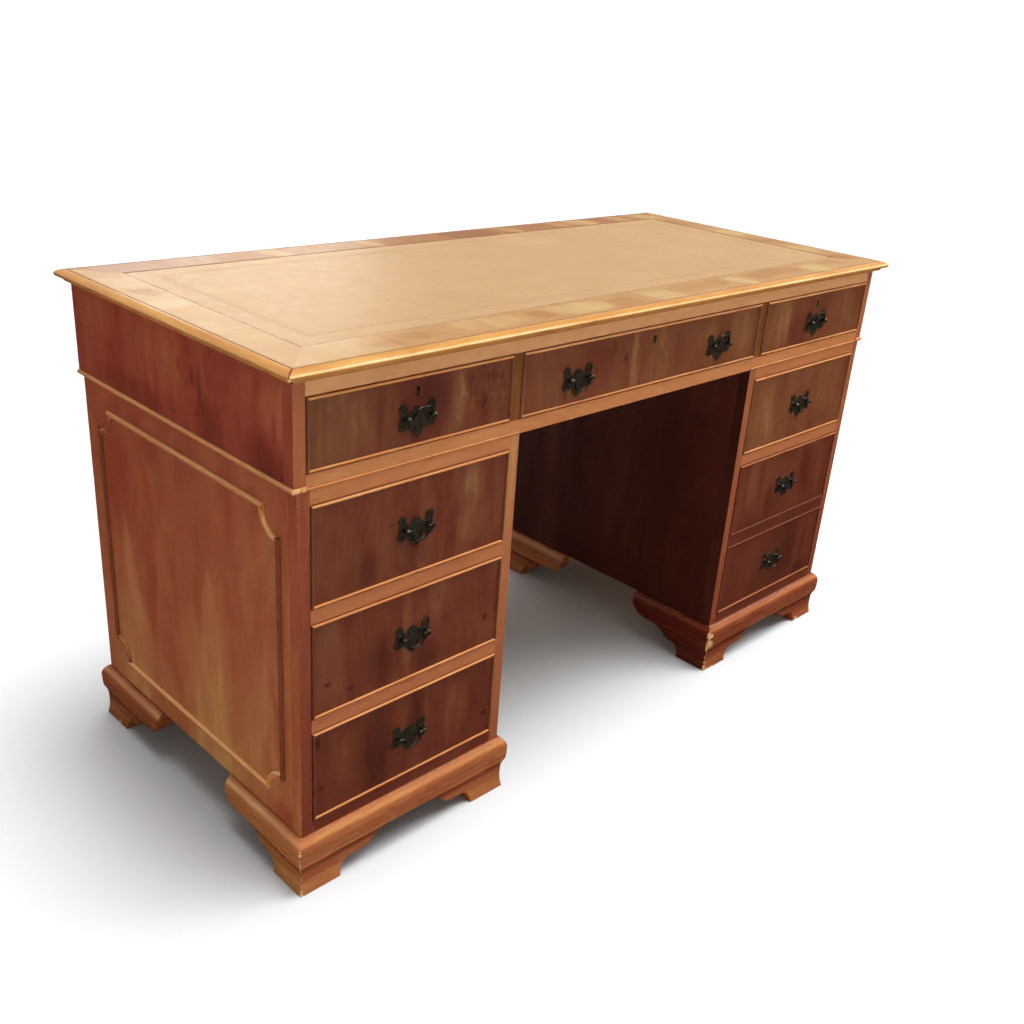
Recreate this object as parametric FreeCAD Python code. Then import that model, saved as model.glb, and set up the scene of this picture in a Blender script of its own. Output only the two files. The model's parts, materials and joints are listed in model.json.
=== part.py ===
import FreeCAD, Part
import math
import os

os.makedirs("parts", exist_ok=True)

# Kneehole desk: X runs along its length, the front faces -Y, Z is up, floor at Z = 0

# Whole desk
desk_long = 1372.0
desk_deep = 606.0
desk_high = 775.0

# Writing top
top_thick = 17.0
veneer_thick = 1.5
leather_thick = 1.2
side_band_wide = 58.0
front_band_wide = 68.0
edge_wide = 13.5
overhang_side = 18.0
overhang_front = 20.5
overhang_back = 15.0

# Carcass boards
board_thick = 18.0
frame_deep = 20.0
back_thick = 12.0
dust_thick = 12.0

# Frieze
frieze_top_rail_high = 22.0
frieze_opening_high = 98.0
frieze_low_rail_high = 21.5
muntin_wide = 17.0
muntin_shift = 3.0
waist_bead_high = 7.0
waist_bead_proud = 3.4
rail_bead_high = 3.4
rail_bead_proud = 1.7

# Pedestals
pedestal_wide = 375.0
pedestal_side_inset = 5.0
pedestal_back_inset = 3.0
pedestal_top_rail_high = 20.0
pedestal_mid_rail_high = 21.0
pedestal_low_rail_high = 19.5
pedestal_top_thick = 15.0
pedestal_drawers = 3
runner_wide = 16.0

# Moulding frame on the outer sides
side_frame_margin = 42.0
side_frame_wide = 9.0
side_frame_proud = 4.5
side_frame_hollow = 37.0

# Feet
foot_high = 96.0
foot_bulge = 12.5
foot_back = 14.0
foot_toe = 60.0
foot_scoop_long = 16.0
foot_scoop_high = 26.0
foot_lobe_rise = 2.0
foot_arch_high = 49.5
plinth_lobe_long = 36.0
plinth_arch_flat = 71.0
bracket_long = 182.0
bracket_lobe_long = 18.0
bracket_round_long = 44.0
bracket_round_high = 26.0
corner_block = 40.0

# Dowels between the top section and the pedestals
dowel_radius = 4.0
dowel_long = 30.0
dowel_inset = 85.0
dowel_clear = 0.2

# Drawers
drawer_gap = 1.2
drawer_back_gap = 35.5
drawer_side_thick = 10.0
drawer_side_relief = 8.0
drawer_back_relief = 6.0
drawer_bottom_thick = 5.0
drawer_bottom_rise = 7.0
drawer_groove_deep = 5.0
tail_long = 12.0
tail_pitch = 31.0
bead_thick = 4.0
bead_deep = 6.0
bead_proud = 2.2

# Drawer pulls
plate_wide = 64.0
plate_high = 46.0
plate_thick = 1.5
piercing_radius = 2.4
post_spacing = 43.5
post_reach = 8.5
post_head_radius = 4.2
post_stem_radius = 2.7
post_collar_radius = 4.4
post_collar_thick = 1.6
shank_radius = 2.0
shank_clear = 0.3
nut_wide = 9.0
nut_thick = 3.5
bail_radius = 1.6
bail_drop = 17.0
bail_leg_out = 14.3
bail_shoulder_radius = 2.6
bail_corner_radius = 10.5
bail_pin_clear = 0.4
frieze_pull_drop = 6.5
centre_pull_inset = 116.5

# Angles from hanging of the bails that stand up, the others hang
left_bail_swing = 160.0
right_bail_swing = 176.0

# Locks of the frieze drawers
keyhole_radius = 2.6
keyhole_slot_wide = 2.8
keyhole_slot_long = 9.0
keyhole_lining = 1.3
keyhole_lining_deep = 4.0
keyhole_lining_proud = 0.5
keyhole_below_top = 18.5
lock_wide = 44.0
lock_high = 30.0
lock_deep = 10.0
lock_back_wall = 2.0
bolt_wide = 18.0
bolt_high = 14.0
bolt_thick = 4.0
bolt_throw = 8.0
bolt_clear = 0.3

# One overrun serves all cuts
overrun = 5.0

# Outlines as shares of the sizes that they follow
edge_shares = ((0.0, 1.0), (0.95, 0.70), (1.0, 0.566), (0.86, 0.36), (0.60, 0.30), (0.32, 0.20), (0.24, 0.0))
foot_shares = ((0.24, 1.0), (0.82, 0.91), (1.0, 0.74), (0.99, 0.65), (0.90, 0.56), (0.66, 0.50),
               (0.51, 0.36), (0.53, 0.16), (0.74, 0.0))
scoop_bow_shares = (0.16, 0.58)
lobe_bow_shares = (0.50, 0.0)
sweep_bow_shares = (0.42, 0.66)
round_bow_shares = (0.68, 0.30)
plate_shares = ((0.0, 0.29), (0.17, 0.25), (0.28, 0.15), (0.40, 0.12), (0.52, 0.24), (0.76, 0.41),
                (0.96, 0.24), (0.88, 0.03), (0.98, -0.16), (0.88, -0.35), (0.62, -0.33),
                (0.40, -0.36), (0.26, -0.47), (0.13, -0.58), (0.0, -0.63))
piercing_shares = ((0.76, 0.24), (0.80, -0.20), (0.50, -0.18), (0.36, -0.02), (0.19, -0.33))
tail_neck_share = 0.24
tail_end_share = 0.34

# Heights and planes that follow from the sizes above
top_low = desk_high - top_thick
veneer_low = desk_high - veneer_thick
frieze_open_high = top_low - frieze_top_rail_high
frieze_open_low = frieze_open_high - frieze_opening_high
frieze_low = frieze_open_low - frieze_low_rail_high
pedestal_open_high = frieze_low - pedestal_top_rail_high
pedestal_open_low = foot_high + pedestal_low_rail_high
pedestal_rails_high = pedestal_mid_rail_high * (pedestal_drawers - 1)
drawer_opening_high = (pedestal_open_high - pedestal_open_low - pedestal_rails_high) / pedestal_drawers

board_half_long = desk_long / 2 - edge_wide
board_half_deep = desk_deep / 2 - edge_wide
frieze_half = desk_long / 2 - overhang_side
frieze_inner = frieze_half - board_thick
front_y = overhang_front - desk_deep / 2
frame_back_y = front_y + frame_deep
frieze_back_y = desk_deep / 2 - overhang_back
pedestal_back_y = frieze_back_y - pedestal_back_inset
pedestal_outer = frieze_half - pedestal_side_inset
pedestal_inner = pedestal_outer - pedestal_wide
opening_outer = pedestal_outer - board_thick
opening_inner = pedestal_inner + board_thick
pedestal_centre = (pedestal_outer + pedestal_inner) / 2
muntin_out = (pedestal_inner + opening_inner) / 2 + muntin_shift
muntin_outer = muntin_out + muntin_wide / 2
muntin_inner = muntin_out - muntin_wide / 2
drawer_back_y = pedestal_back_y - back_thick - drawer_back_gap


# Small helpers
def at(x, y, z):
    return FreeCAD.Vector(x, y, z)


origin = at(0, 0, 0)
along_x = at(1, 0, 0)
along_y = at(0, 1, 0)
along_z = at(0, 0, 1)


def box(x_low, x_high, y_low, y_high, z_low, z_high):
    return Part.makeBox(x_high - x_low, y_high - y_low, z_high - z_low, at(x_low, y_low, z_low))


def polygon(points):
    return Part.Face(Part.makePolygon(list(points) + [points[0]]))


def line(start, end):
    return Part.LineSegment(start, end).toShape()


def arc(start, middle, end):
    return Part.Arc(start, middle, end).toShape()


def level_arc(start, end):
    # Arc in the YZ plane that leaves its start level and falls to its end
    fall = start.z - end.z
    reach = end.y - start.y
    radius = (reach ** 2 + fall ** 2) / (2 * fall)
    half_turn = math.atan2(reach, radius - fall) / 2
    middle = at(start.x, start.y + radius * math.sin(half_turn), start.z - radius * (1 - math.cos(half_turn)))
    return arc(start, middle, end)


def mirrored(shape):
    return shape.mirror(origin, along_x)


def both_sides(shapes):
    return list(shapes) + [mirrored(shape) for shape in shapes]


def save(node, shapes):
    Part.makeCompound(list(shapes)).exportStep("parts/" + node + ".step")


# Lengths of moulding: the section lies in the YZ plane, Y outwards from the line that it follows
def moulding(section, run, mitred_low, mitred_high):
    limits = section.BoundBox
    reach = run / 2 + max(abs(limits.YMin), abs(limits.YMax)) + overrun
    bar = section.translated(at(-reach, 0, 0)).extrude(along_x * (2 * reach))
    for side, mitred in ((-1, mitred_low), (1, mitred_high)):
        slope = side if mitred else 0
        waste = polygon([
            at(side * run / 2 + slope * limits.YMin, limits.YMin, limits.ZMin),
            at(side * run / 2 + slope * limits.YMax, limits.YMax, limits.ZMin),
            at(side * (reach + overrun), limits.YMax, limits.ZMin),
            at(side * (reach + overrun), limits.YMin, limits.ZMin),
        ])
        bar = bar.cut(waste.extrude(along_z * limits.ZLength))
    return bar


def moulding_frame(section, wide, deep):
    lengths = []
    for turn in range(4):
        run, out = (wide, deep / 2) if turn % 2 == 0 else (deep, wide / 2)
        length = moulding(section, run, True, True)
        length.translate(along_y * out)
        length.rotate(origin, along_z, 90 * turn)
        lengths.append(length)
    return lengths


# Writing top
def top_board():
    return box(-board_half_long, board_half_long, -board_half_deep, board_half_deep, top_low, veneer_low)


def leather_corners():
    x = board_half_long - side_band_wide
    y_front = front_band_wide - board_half_deep
    y_back = board_half_deep - side_band_wide
    return [at(-x, y_front, veneer_low), at(x, y_front, veneer_low), at(x, y_back, veneer_low),
            at(-x, y_back, veneer_low)]


def top_crossbanding():
    x = board_half_long
    y = board_half_deep
    outer = [at(-x, -y, veneer_low), at(x, -y, veneer_low), at(x, y, veneer_low), at(-x, y, veneer_low)]
    inner = leather_corners()
    strips = []
    for start in range(4):
        end = (start + 1) % 4
        strip = polygon([outer[start], outer[end], inner[end], inner[start]])
        strips.append(strip.extrude(along_z * veneer_thick))
    return strips


def leather_writing_surface():
    return polygon(leather_corners()).extrude(along_z * leather_thick)


def top_edge_moulding():
    points = [at(0, edge_wide * out, top_low + top_thick * up) for out, up in edge_shares]
    crown = level_arc(points[0], points[1])
    nose = arc(points[1], points[2], points[3])
    lip = line(points[3], points[4])
    cove = arc(points[4], points[5], points[6])
    foot = at(0, 0, top_low)
    section = Part.Face(Part.Wire([crown, nose, lip, cove, line(points[6], foot), line(foot, points[0])]))
    return moulding_frame(section, 2 * board_half_long, 2 * board_half_deep)


# Frieze
def frieze_end_panels():
    panel = box(-frieze_half, -frieze_inner, frame_back_y, frieze_back_y, frieze_low, top_low)
    return both_sides([panel.cut(Part.makeCompound(dowel_holes()))])


def frieze_partitions():
    board = box(-muntin_outer, -muntin_inner, frame_back_y, frieze_back_y - back_thick, frieze_low, top_low)
    return both_sides([board.cut(Part.makeCompound(dowel_holes()))])


def frieze_back_panel():
    return box(-frieze_inner, frieze_inner, frieze_back_y - back_thick, frieze_back_y, frieze_low, top_low)


def frieze_front_rails():
    upper = box(-frieze_inner, frieze_inner, front_y, frame_back_y, frieze_open_high, top_low)
    lower = box(-frieze_inner, frieze_inner, front_y, frame_back_y, frieze_low, frieze_open_low)
    for centre in frieze_centres():
        upper = upper.cut(bolt_mortice(centre))
    return [upper, lower]


def frieze_front_stiles():
    stile = box(-frieze_half, -frieze_inner, front_y, frame_back_y, frieze_low, top_low)
    muntin = box(-muntin_outer, -muntin_inner, front_y, frame_back_y, frieze_open_low, frieze_open_high)
    return both_sides([stile, muntin])


def frieze_dust_boards():
    boards = []
    for x_low, x_high in frieze_bays():
        boards.append(box(x_low, x_high, frame_back_y, frieze_back_y - back_thick,
                          frieze_open_low - dust_thick, frieze_open_low))
    return boards


def frieze_bays():
    return [(-frieze_inner, -muntin_outer), (-muntin_inner, muntin_inner), (muntin_outer, frieze_inner)]


def frieze_centres():
    return [(x_low + x_high) / 2 for x_low, x_high in frieze_bays()]


def half_round(high, proud):
    foot = at(0, 0, 0)
    top = at(0, 0, high)
    nose = at(0, proud, high / 2)
    return Part.Face(Part.Wire([arc(foot, nose, top), line(top, foot)]))


# The full bead runs along the sides and returns over the stiles, a slighter one follows the rails
def waist_bead():
    full = half_round(waist_bead_high, waist_bead_proud)
    slight = half_round(rail_bead_high, rail_bead_proud)
    side = moulding(full, frieze_back_y - front_y, True, False)
    side.rotate(origin, along_z, 90)
    side.translate(at(-frieze_half, (front_y + frieze_back_y) / 2, frieze_low))
    corner = moulding(full, frieze_half - frieze_inner, False, True)
    corner.rotate(origin, along_z, 180)
    corner.translate(at(-(frieze_half + frieze_inner) / 2, front_y, frieze_low))
    front = moulding(slight, frieze_inner - pedestal_inner, False, False)
    front.rotate(origin, along_z, 180)
    front.translate(at(-(frieze_inner + pedestal_inner) / 2, front_y, frieze_low))
    return both_sides([side, corner, front])


# Dowels
def dowel_places():
    outer = (pedestal_outer + frieze_inner) / 2
    inner = (opening_inner + muntin_inner) / 2
    y_places = (frame_back_y + dowel_inset, pedestal_back_y - dowel_inset)
    return [(-x, y) for x in (outer, inner) for y in y_places]


def dowel_holes():
    deep = dowel_long / 2
    holes = []
    for x, y in dowel_places():
        foot = at(x, y, frieze_low - deep)
        holes.append(Part.makeCylinder(dowel_radius + dowel_clear, dowel_long + dowel_clear, foot))
    return holes


def locating_dowels():
    deep = dowel_long / 2
    feet = [at(x, y, frieze_low - deep) for x, y in dowel_places()]
    dowels = [Part.makeCylinder(dowel_radius, dowel_long, foot) for foot in feet]
    return both_sides(dowels)


# Pedestals
def pedestal_side(x_low, x_high):
    side = box(x_low, x_high, frame_back_y, pedestal_back_y, foot_high, frieze_low)
    return both_sides([side.cut(Part.makeCompound(dowel_holes()))])


def pedestal_backs():
    back = box(-opening_outer, -opening_inner, pedestal_back_y - back_thick, pedestal_back_y,
               foot_high, frieze_low)
    return both_sides([back])


def pedestal_tops_and_bottoms():
    y_back = pedestal_back_y - back_thick
    top = box(-opening_outer, -opening_inner, frame_back_y, y_back,
              frieze_low - pedestal_top_thick, frieze_low)
    bottom = box(-opening_outer, -opening_inner, frame_back_y, y_back, foot_high, pedestal_open_low)
    return both_sides([top, bottom])


def pedestal_stiles():
    outer = box(-pedestal_outer, -opening_outer, front_y, frame_back_y, foot_high, frieze_low)
    inner = box(-opening_inner, -pedestal_inner, front_y, frame_back_y, foot_high, frieze_low)
    return both_sides([outer, inner])


def opening_bottom(number):
    # Openings are counted from the top of the pedestal, starting at 0
    steps = pedestal_drawers - 1 - number
    return pedestal_open_low + steps * (drawer_opening_high + pedestal_mid_rail_high)


def pedestal_rail(low, high):
    return box(-opening_outer, -opening_inner, front_y, frame_back_y, low, high)


def middle_rail(number):
    high = opening_bottom(number)
    return pedestal_rail(high - pedestal_mid_rail_high, high)


def pedestal_rails():
    ends = [pedestal_rail(pedestal_open_high, frieze_low), pedestal_rail(foot_high, pedestal_open_low)]
    left_middle = [middle_rail(number) for number in range(pedestal_drawers - 1)]
    return both_sides(ends) + left_middle + [mirrored(middle_rail(0))]


def runner_pair(number):
    high = opening_bottom(number)
    low = high - pedestal_mid_rail_high
    y_back = pedestal_back_y - back_thick
    outer = box(-opening_outer, runner_wide - opening_outer, frame_back_y, y_back, low, high)
    inner = box(-opening_inner - runner_wide, -opening_inner, frame_back_y, y_back, low, high)
    return [outer, inner]


def pedestal_drawer_runners():
    runners = []
    for number in range(pedestal_drawers - 1):
        runners += runner_pair(number)
    return runners + [mirrored(runner) for runner in runner_pair(0)]


# Moulding frame with hollow corners: built flat, then stood against the outer side
def side_frame_section():
    low = at(0, -side_frame_wide / 2, 0)
    high = at(0, side_frame_wide / 2, 0)
    crown = at(0, 0, side_frame_proud)
    return Part.Face(Part.Wire([arc(low, crown, high), line(high, low)]))


def side_panel_mouldings():
    half_long = (pedestal_back_y - front_y) / 2 - side_frame_margin
    half_high = (frieze_low - foot_high) / 2 - side_frame_margin
    section = side_frame_section()
    trim = side_frame_hollow - side_frame_wide / 2
    straights = []
    for turn in range(4):
        half_run, out = (half_long, half_high) if turn % 2 == 0 else (half_high, half_long)
        strip = moulding(section, 2 * (half_run - trim), False, False)
        strip.translate(along_y * out)
        strip.rotate(origin, along_z, 90 * turn)
        straights.append(strip)
    blocks = Part.makeCompound([side_frame_block(strip) for strip in straights])
    ring = section.translated(along_y * side_frame_hollow).revolve(origin, along_z, 90)
    corners = []
    for turn, x, y in ((0, half_long, -half_high), (1, half_long, half_high),
                       (2, -half_long, half_high), (3, -half_long, -half_high)):
        corner = ring.copy()
        corner.rotate(origin, along_z, 90 * turn)
        corner.translate(at(x, y, 0))
        corners += corner.cut(blocks).Solids
    frame = straights + corners
    for piece in frame:
        piece.rotate(origin, along_x, 90)
        piece.rotate(origin, along_z, -90)
        piece.translate(at(-pedestal_outer, (front_y + pedestal_back_y) / 2, (foot_high + frieze_low) / 2))
    return both_sides(frame)


def side_frame_block(strip):
    limits = strip.BoundBox
    return box(limits.XMin, limits.XMax, limits.YMin, limits.YMax, limits.ZMin, limits.ZMax)


# Feet: ogee section, Y outwards from the pedestal's face
def foot_section():
    points = [at(0, foot_bulge * out, foot_high * up) for out, up in foot_shares]
    curves = [arc(points[n], points[n + 1], points[n + 2]) for n in range(0, len(points) - 2, 2)]
    heel = at(0, -foot_back, 0)
    shoulder = at(0, -foot_back, foot_high)
    straight = [line(points[-1], heel), line(heel, shoulder), line(shoulder, points[0])]
    return Part.Face(Part.Wire(curves + straight))


def bow(start, end, shares):
    # A point between two others, set off along and up by its own shares
    along, up = shares
    return at(start.x + (end.x - start.x) * along, start.y, start.z + (end.z - start.z) * up)


def toe_curve(corner, inward, lobe_long, arch_start):
    # Lower edge of a foot from the floor up to the top of the arch, which starts that far from the corner
    notch_start = foot_toe + foot_scoop_long
    toe = at(corner + inward * foot_toe, 0, 0)
    notch = at(corner + inward * notch_start, 0, foot_scoop_high)
    cusp = at(corner + inward * (notch_start + lobe_long), 0, foot_scoop_high + foot_lobe_rise)
    crown = at(corner + inward * arch_start, 0, foot_arch_high)
    scoop = arc(toe, bow(toe, notch, scoop_bow_shares), notch)
    lobe = arc(notch, bow(notch, cusp, lobe_bow_shares), cusp)
    sweep = arc(cusp, bow(cusp, crown, sweep_bow_shares), crown)
    return toe, crown, [scoop, lobe, sweep]


def through_cut(edges):
    gap = Part.Face(Part.Wire(Part.__sortEdges__(edges)))
    gap.translate(along_y * -(foot_back + overrun))
    return gap.extrude(along_y * (foot_back + foot_bulge + 2 * overrun))


def plinth_arch():
    arch_start = (pedestal_wide - plinth_arch_flat) / 2
    toe_low, crown_low, curve_low = toe_curve(-pedestal_wide / 2, 1, plinth_lobe_long, arch_start)
    toe_high, crown_high, curve_high = toe_curve(pedestal_wide / 2, -1, plinth_lobe_long, arch_start)
    return through_cut(curve_low + curve_high + [line(crown_low, crown_high), line(toe_high, toe_low)])


def plinth_fronts_and_backs():
    back = moulding(foot_section(), pedestal_wide, True, True)
    back = back.cut(plinth_arch())
    front = back.copy()
    front.rotate(origin, along_z, 180)
    front.translate(at(-pedestal_centre, front_y, 0))
    back.translate(at(-pedestal_centre, pedestal_back_y, 0))
    return both_sides([front, back])


def bracket():
    # Its mitred corner end is at low X, and its lower edge rounds up to the other end
    toe, crown, curve = toe_curve(-bracket_long / 2, 1, bracket_lobe_long, bracket_long - bracket_round_long)
    end = at(bracket_long / 2, 0, crown.z + bracket_round_high)
    beyond = at(end.x + overrun, 0, end.z)
    floor = at(beyond.x, 0, 0)
    curve.append(arc(crown, bow(crown, end, round_bow_shares), end))
    foot = moulding(foot_section(), bracket_long, True, False)
    return foot.cut(through_cut(curve + [line(end, beyond), line(beyond, floor), line(floor, toe)]))


def side_bracket_feet():
    feet = []
    for face, outward in ((-pedestal_outer, -1), (-pedestal_inner, 1)):
        for corner_y, inward in ((front_y, 1), (pedestal_back_y, -1)):
            foot = bracket()
            if outward * inward > 0:
                foot = foot.mirror(origin, along_x)
            foot.rotate(origin, along_z, -90 * outward)
            foot.translate(at(face, corner_y + inward * bracket_long / 2, 0))
            feet.append(foot)
    return both_sides(feet)


def foot_corner_blocks():
    blocks = []
    x_outer = foot_back - pedestal_outer
    x_inner = -pedestal_inner - foot_back - corner_block
    y_front = front_y + foot_back
    y_back = pedestal_back_y - foot_back - corner_block
    for x in (x_outer, x_inner):
        for y in (y_front, y_back):
            blocks.append(box(x, x + corner_block, y, y + corner_block, 0, foot_high))
    return both_sides(blocks)


# Drawers
def bead_section(nose):
    back = -bead_deep
    inner_back = at(0, -bead_thick, back)
    outer_back = at(0, 0, back)
    if not nose:
        inner = at(0, -bead_thick, 0)
        outer = at(0, 0, 0)
        return polygon([inner_back, outer_back, outer, inner])
    shoulder = bead_proud - bead_thick / 2
    inner = at(0, -bead_thick, shoulder)
    outer = at(0, 0, shoulder)
    tip = at(0, -bead_thick / 2, bead_proud)
    edges = [line(inner_back, outer_back), line(outer_back, outer), arc(outer, tip, inner),
             line(inner, inner_back)]
    return Part.Face(Part.Wire(edges))


def bead_frame(nose, x_low, x_high, z_low, z_high):
    frame = moulding_frame(bead_section(nose), x_high - x_low, z_high - z_low)
    for length in frame:
        length.rotate(origin, along_x, 90)
        length.translate(at((x_low + x_high) / 2, front_y, (z_low + z_high) / 2))
    return frame


def drawer_tails(x_low, z_low, z_high):
    count = max(2, round((z_high - z_low) / tail_pitch))
    pitch = (z_high - z_low) / count
    tails = []
    for number in range(count):
        middle = z_low + pitch * (number + 1 / 2)
        neck = pitch * tail_neck_share
        end = pitch * tail_end_share
        tip_y = frame_back_y - tail_long
        tail = polygon([at(x_low, frame_back_y, middle - neck), at(x_low, frame_back_y, middle + neck),
                        at(x_low, tip_y, middle + end), at(x_low, tip_y, middle - end)])
        tails.append(tail.extrude(along_x * drawer_side_thick))
    return tails


def drawer_front_and_box(x_low, x_high, z_low, z_high, faces):
    left = x_low + drawer_gap
    right = x_high - drawer_gap
    side_high = z_high - drawer_side_relief
    floor_low = z_low + drawer_bottom_rise
    floor_high = floor_low + drawer_bottom_thick
    tails_left = drawer_tails(left, z_low, side_high)
    tails_right = drawer_tails(right - drawer_side_thick, z_low, side_high)

    front = box(left, right, front_y, frame_back_y, z_low + drawer_gap, z_high - drawer_gap)
    beads = []
    for face_low, face_high in faces:
        front = front.cut(Part.makeCompound(bead_frame(False, left, right, face_low, face_high)))
        beads += bead_frame(True, left, right, face_low, face_high)
    front = front.cut(Part.makeCompound(tails_left + tails_right))

    inner_left = left + drawer_side_thick
    inner_right = right - drawer_side_thick
    floor = box(inner_left - drawer_groove_deep, inner_right + drawer_groove_deep,
                frame_back_y - drawer_groove_deep, drawer_back_y, floor_low, floor_high)
    front = front.cut(floor)
    sides = []
    for x, tails in ((left, tails_left), (inner_right, tails_right)):
        side = box(x, x + drawer_side_thick, frame_back_y, drawer_back_y, z_low, side_high)
        sides.append(side.fuse(tails).removeSplitter().cut(floor))
    back = box(inner_left, inner_right, drawer_back_y - drawer_side_thick, drawer_back_y,
               floor_high, side_high - drawer_back_relief)
    return front, beads, sides + [back, floor]


# Pulls: built round the middle between the posts, with the drawer's face at Y = 0
def plate_outline(side):
    points = [at(side * x * plate_wide / 2, 0, z * plate_high) for x, z in plate_shares]
    return [arc(points[n], points[n + 1], points[n + 2]) for n in range(0, len(points) - 2, 2)]


def pull_plate():
    edges = plate_outline(1) + plate_outline(-1)
    plate = Part.Face(Part.Wire(Part.__sortEdges__(edges))).extrude(along_y * -plate_thick)
    holes = [shank(side, shank_radius + shank_clear) for side in (-1, 1)]
    for x, z in piercing_shares:
        for side in (-1, 1):
            centre = at(side * x * plate_wide / 2, -plate_thick - overrun, z * plate_high)
            holes.append(Part.makeCylinder(piercing_radius, plate_thick + 2 * overrun, centre, along_y))
    return plate.cut(Part.makeCompound(holes))


def shank(side, radius):
    foot = at(side * post_spacing / 2, -plate_thick, 0)
    return Part.makeCylinder(radius, plate_thick + frame_deep + nut_thick, foot, along_y)


def pull_post(side):
    x = side * post_spacing / 2
    axis_y = -plate_thick - post_reach
    collar = Part.makeCylinder(post_collar_radius, post_collar_thick, at(x, -plate_thick, 0), along_y * -1)
    stem = Part.makeCylinder(post_stem_radius, post_reach, at(x, -plate_thick, 0), along_y * -1)
    head = Part.makeSphere(post_head_radius, at(x, axis_y, 0))
    eye_foot = at(x - post_head_radius - overrun, axis_y, 0)
    eye = Part.makeCylinder(bail_radius + bail_pin_clear, 2 * (post_head_radius + overrun), eye_foot, along_x)
    return shank(side, shank_radius).fuse([collar, stem, head]).removeSplitter().cut(eye)


def pull_nut(side):
    x = side * post_spacing / 2
    nut = box(x - nut_wide / 2, x + nut_wide / 2, frame_deep, frame_deep + nut_thick,
              -nut_wide / 2, nut_wide / 2)
    return nut.cut(shank(side, shank_radius + shank_clear))


def pull_bail(swing):
    pin_end = post_spacing / 2 + post_head_radius / 2
    bend = bail_shoulder_radius
    leg = bail_leg_out
    turn = bail_corner_radius
    diagonal = 0.5 ** 0.5
    half = []
    for side in (1, -1):
        pin = line(at(side * pin_end, 0, 0), at(side * (leg + bend), 0, 0))
        shoulder = arc(at(side * (leg + bend), 0, 0),
                       at(side * (leg + bend - bend * diagonal), 0, bend * diagonal - bend),
                       at(side * leg, 0, -bend))
        upright = line(at(side * leg, 0, -bend), at(side * leg, 0, turn - bail_drop))
        corner = arc(at(side * leg, 0, turn - bail_drop),
                     at(side * (leg - turn + turn * diagonal), 0, turn - turn * diagonal - bail_drop),
                     at(side * (leg - turn), 0, -bail_drop))
        half.append([pin, shoulder, upright, corner])
    foot = line(at(leg - turn, 0, -bail_drop), at(turn - leg, 0, -bail_drop))
    path = Part.Wire(half[0] + [foot] + half[1][::-1])
    ring = Part.Wire(Part.makeCircle(bail_radius, at(pin_end, 0, 0), along_x))
    bail = path.makePipeShell([ring], True, True)
    bail.rotate(origin, along_x, -swing)
    bail.translate(along_y * -(plate_thick + post_reach))
    return bail


def pull_brass():
    pieces = [pull_plate()]
    for side in (-1, 1):
        pieces += [pull_post(side), pull_nut(side)]
    return pieces


# Locks: built round the drawer's middle, with the front's upper edge at Z = 0 and its face at Y = 0
def keyhole(spread, deep):
    radius = keyhole_radius + spread
    half = keyhole_slot_wide / 2 + spread
    low = -keyhole_below_top - keyhole_slot_long - spread
    eye = Part.makeCylinder(radius, deep, at(0, 0, -keyhole_below_top), along_y)
    slot = box(-half, half, 0, deep, low, -keyhole_below_top)
    return eye.fuse(slot).removeSplitter()


def lock_lining():
    outside = keyhole(keyhole_lining, keyhole_lining_deep + keyhole_lining_proud)
    inside = keyhole(0, keyhole_lining_deep + keyhole_lining_proud)
    return outside.cut(inside).translated(along_y * -keyhole_lining_proud)


def lock_case_room():
    return box(-lock_wide / 2, lock_wide / 2, frame_deep - lock_deep, frame_deep, -lock_high, 0)


def lock_bolt():
    back = frame_deep - lock_back_wall - bolt_clear
    return box(-bolt_wide / 2, bolt_wide / 2, back - bolt_thick, back, -bolt_high, 0)


def lock_bolt_way(high):
    # Room for the bolt with its running clearance, from its foot up to the given height
    limits = lock_bolt().BoundBox
    return box(limits.XMin - bolt_clear, limits.XMax + bolt_clear, limits.YMin - bolt_clear,
               limits.YMax + bolt_clear, limits.ZMin - bolt_clear, high)


def lock_case():
    return lock_case_room().cut(lock_bolt_way(overrun)).cut(keyhole(0, frame_deep - lock_back_wall))


def lock_origin(centre):
    return at(centre, front_y, frieze_open_high - drawer_gap)


def bolt_mortice(centre):
    return lock_bolt_way(bolt_throw + bolt_clear).translated(lock_origin(centre))


def save_drawer(name, x_low, x_high, z_low, z_high, faces, pulls, locked):
    # Each pull has an ending for its name, the place of its posts' middle and its bail's swing
    front, beads, box_pieces = drawer_front_and_box(x_low, x_high, z_low, z_high, faces)
    brass = []
    for ending, x, z, swing in pulls:
        place = at(x, front_y, z)
        front = front.cut(Part.makeCompound([shank(side, shank_radius + shank_clear).translated(place)
                                             for side in (-1, 1)]))
        brass += [piece.translated(place) for piece in pull_brass()]
        save(name + "_bail" + ending, [pull_bail(swing).translated(place)])
    if locked:
        place = lock_origin((x_low + x_high) / 2)
        front = front.cut(lock_case_room().translated(place))
        front = front.cut(keyhole(0, frame_deep).translated(place))
        front = front.cut(keyhole(keyhole_lining, keyhole_lining_deep).translated(place))
        brass += [lock_case().translated(place), lock_lining().translated(place)]
        save(name + "_lock_bolt", [lock_bolt().translated(place)])
    save(name + "_front", [front] + beads)
    save(name + "_box", box_pieces)
    save(name + "_brassware", brass)


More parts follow.
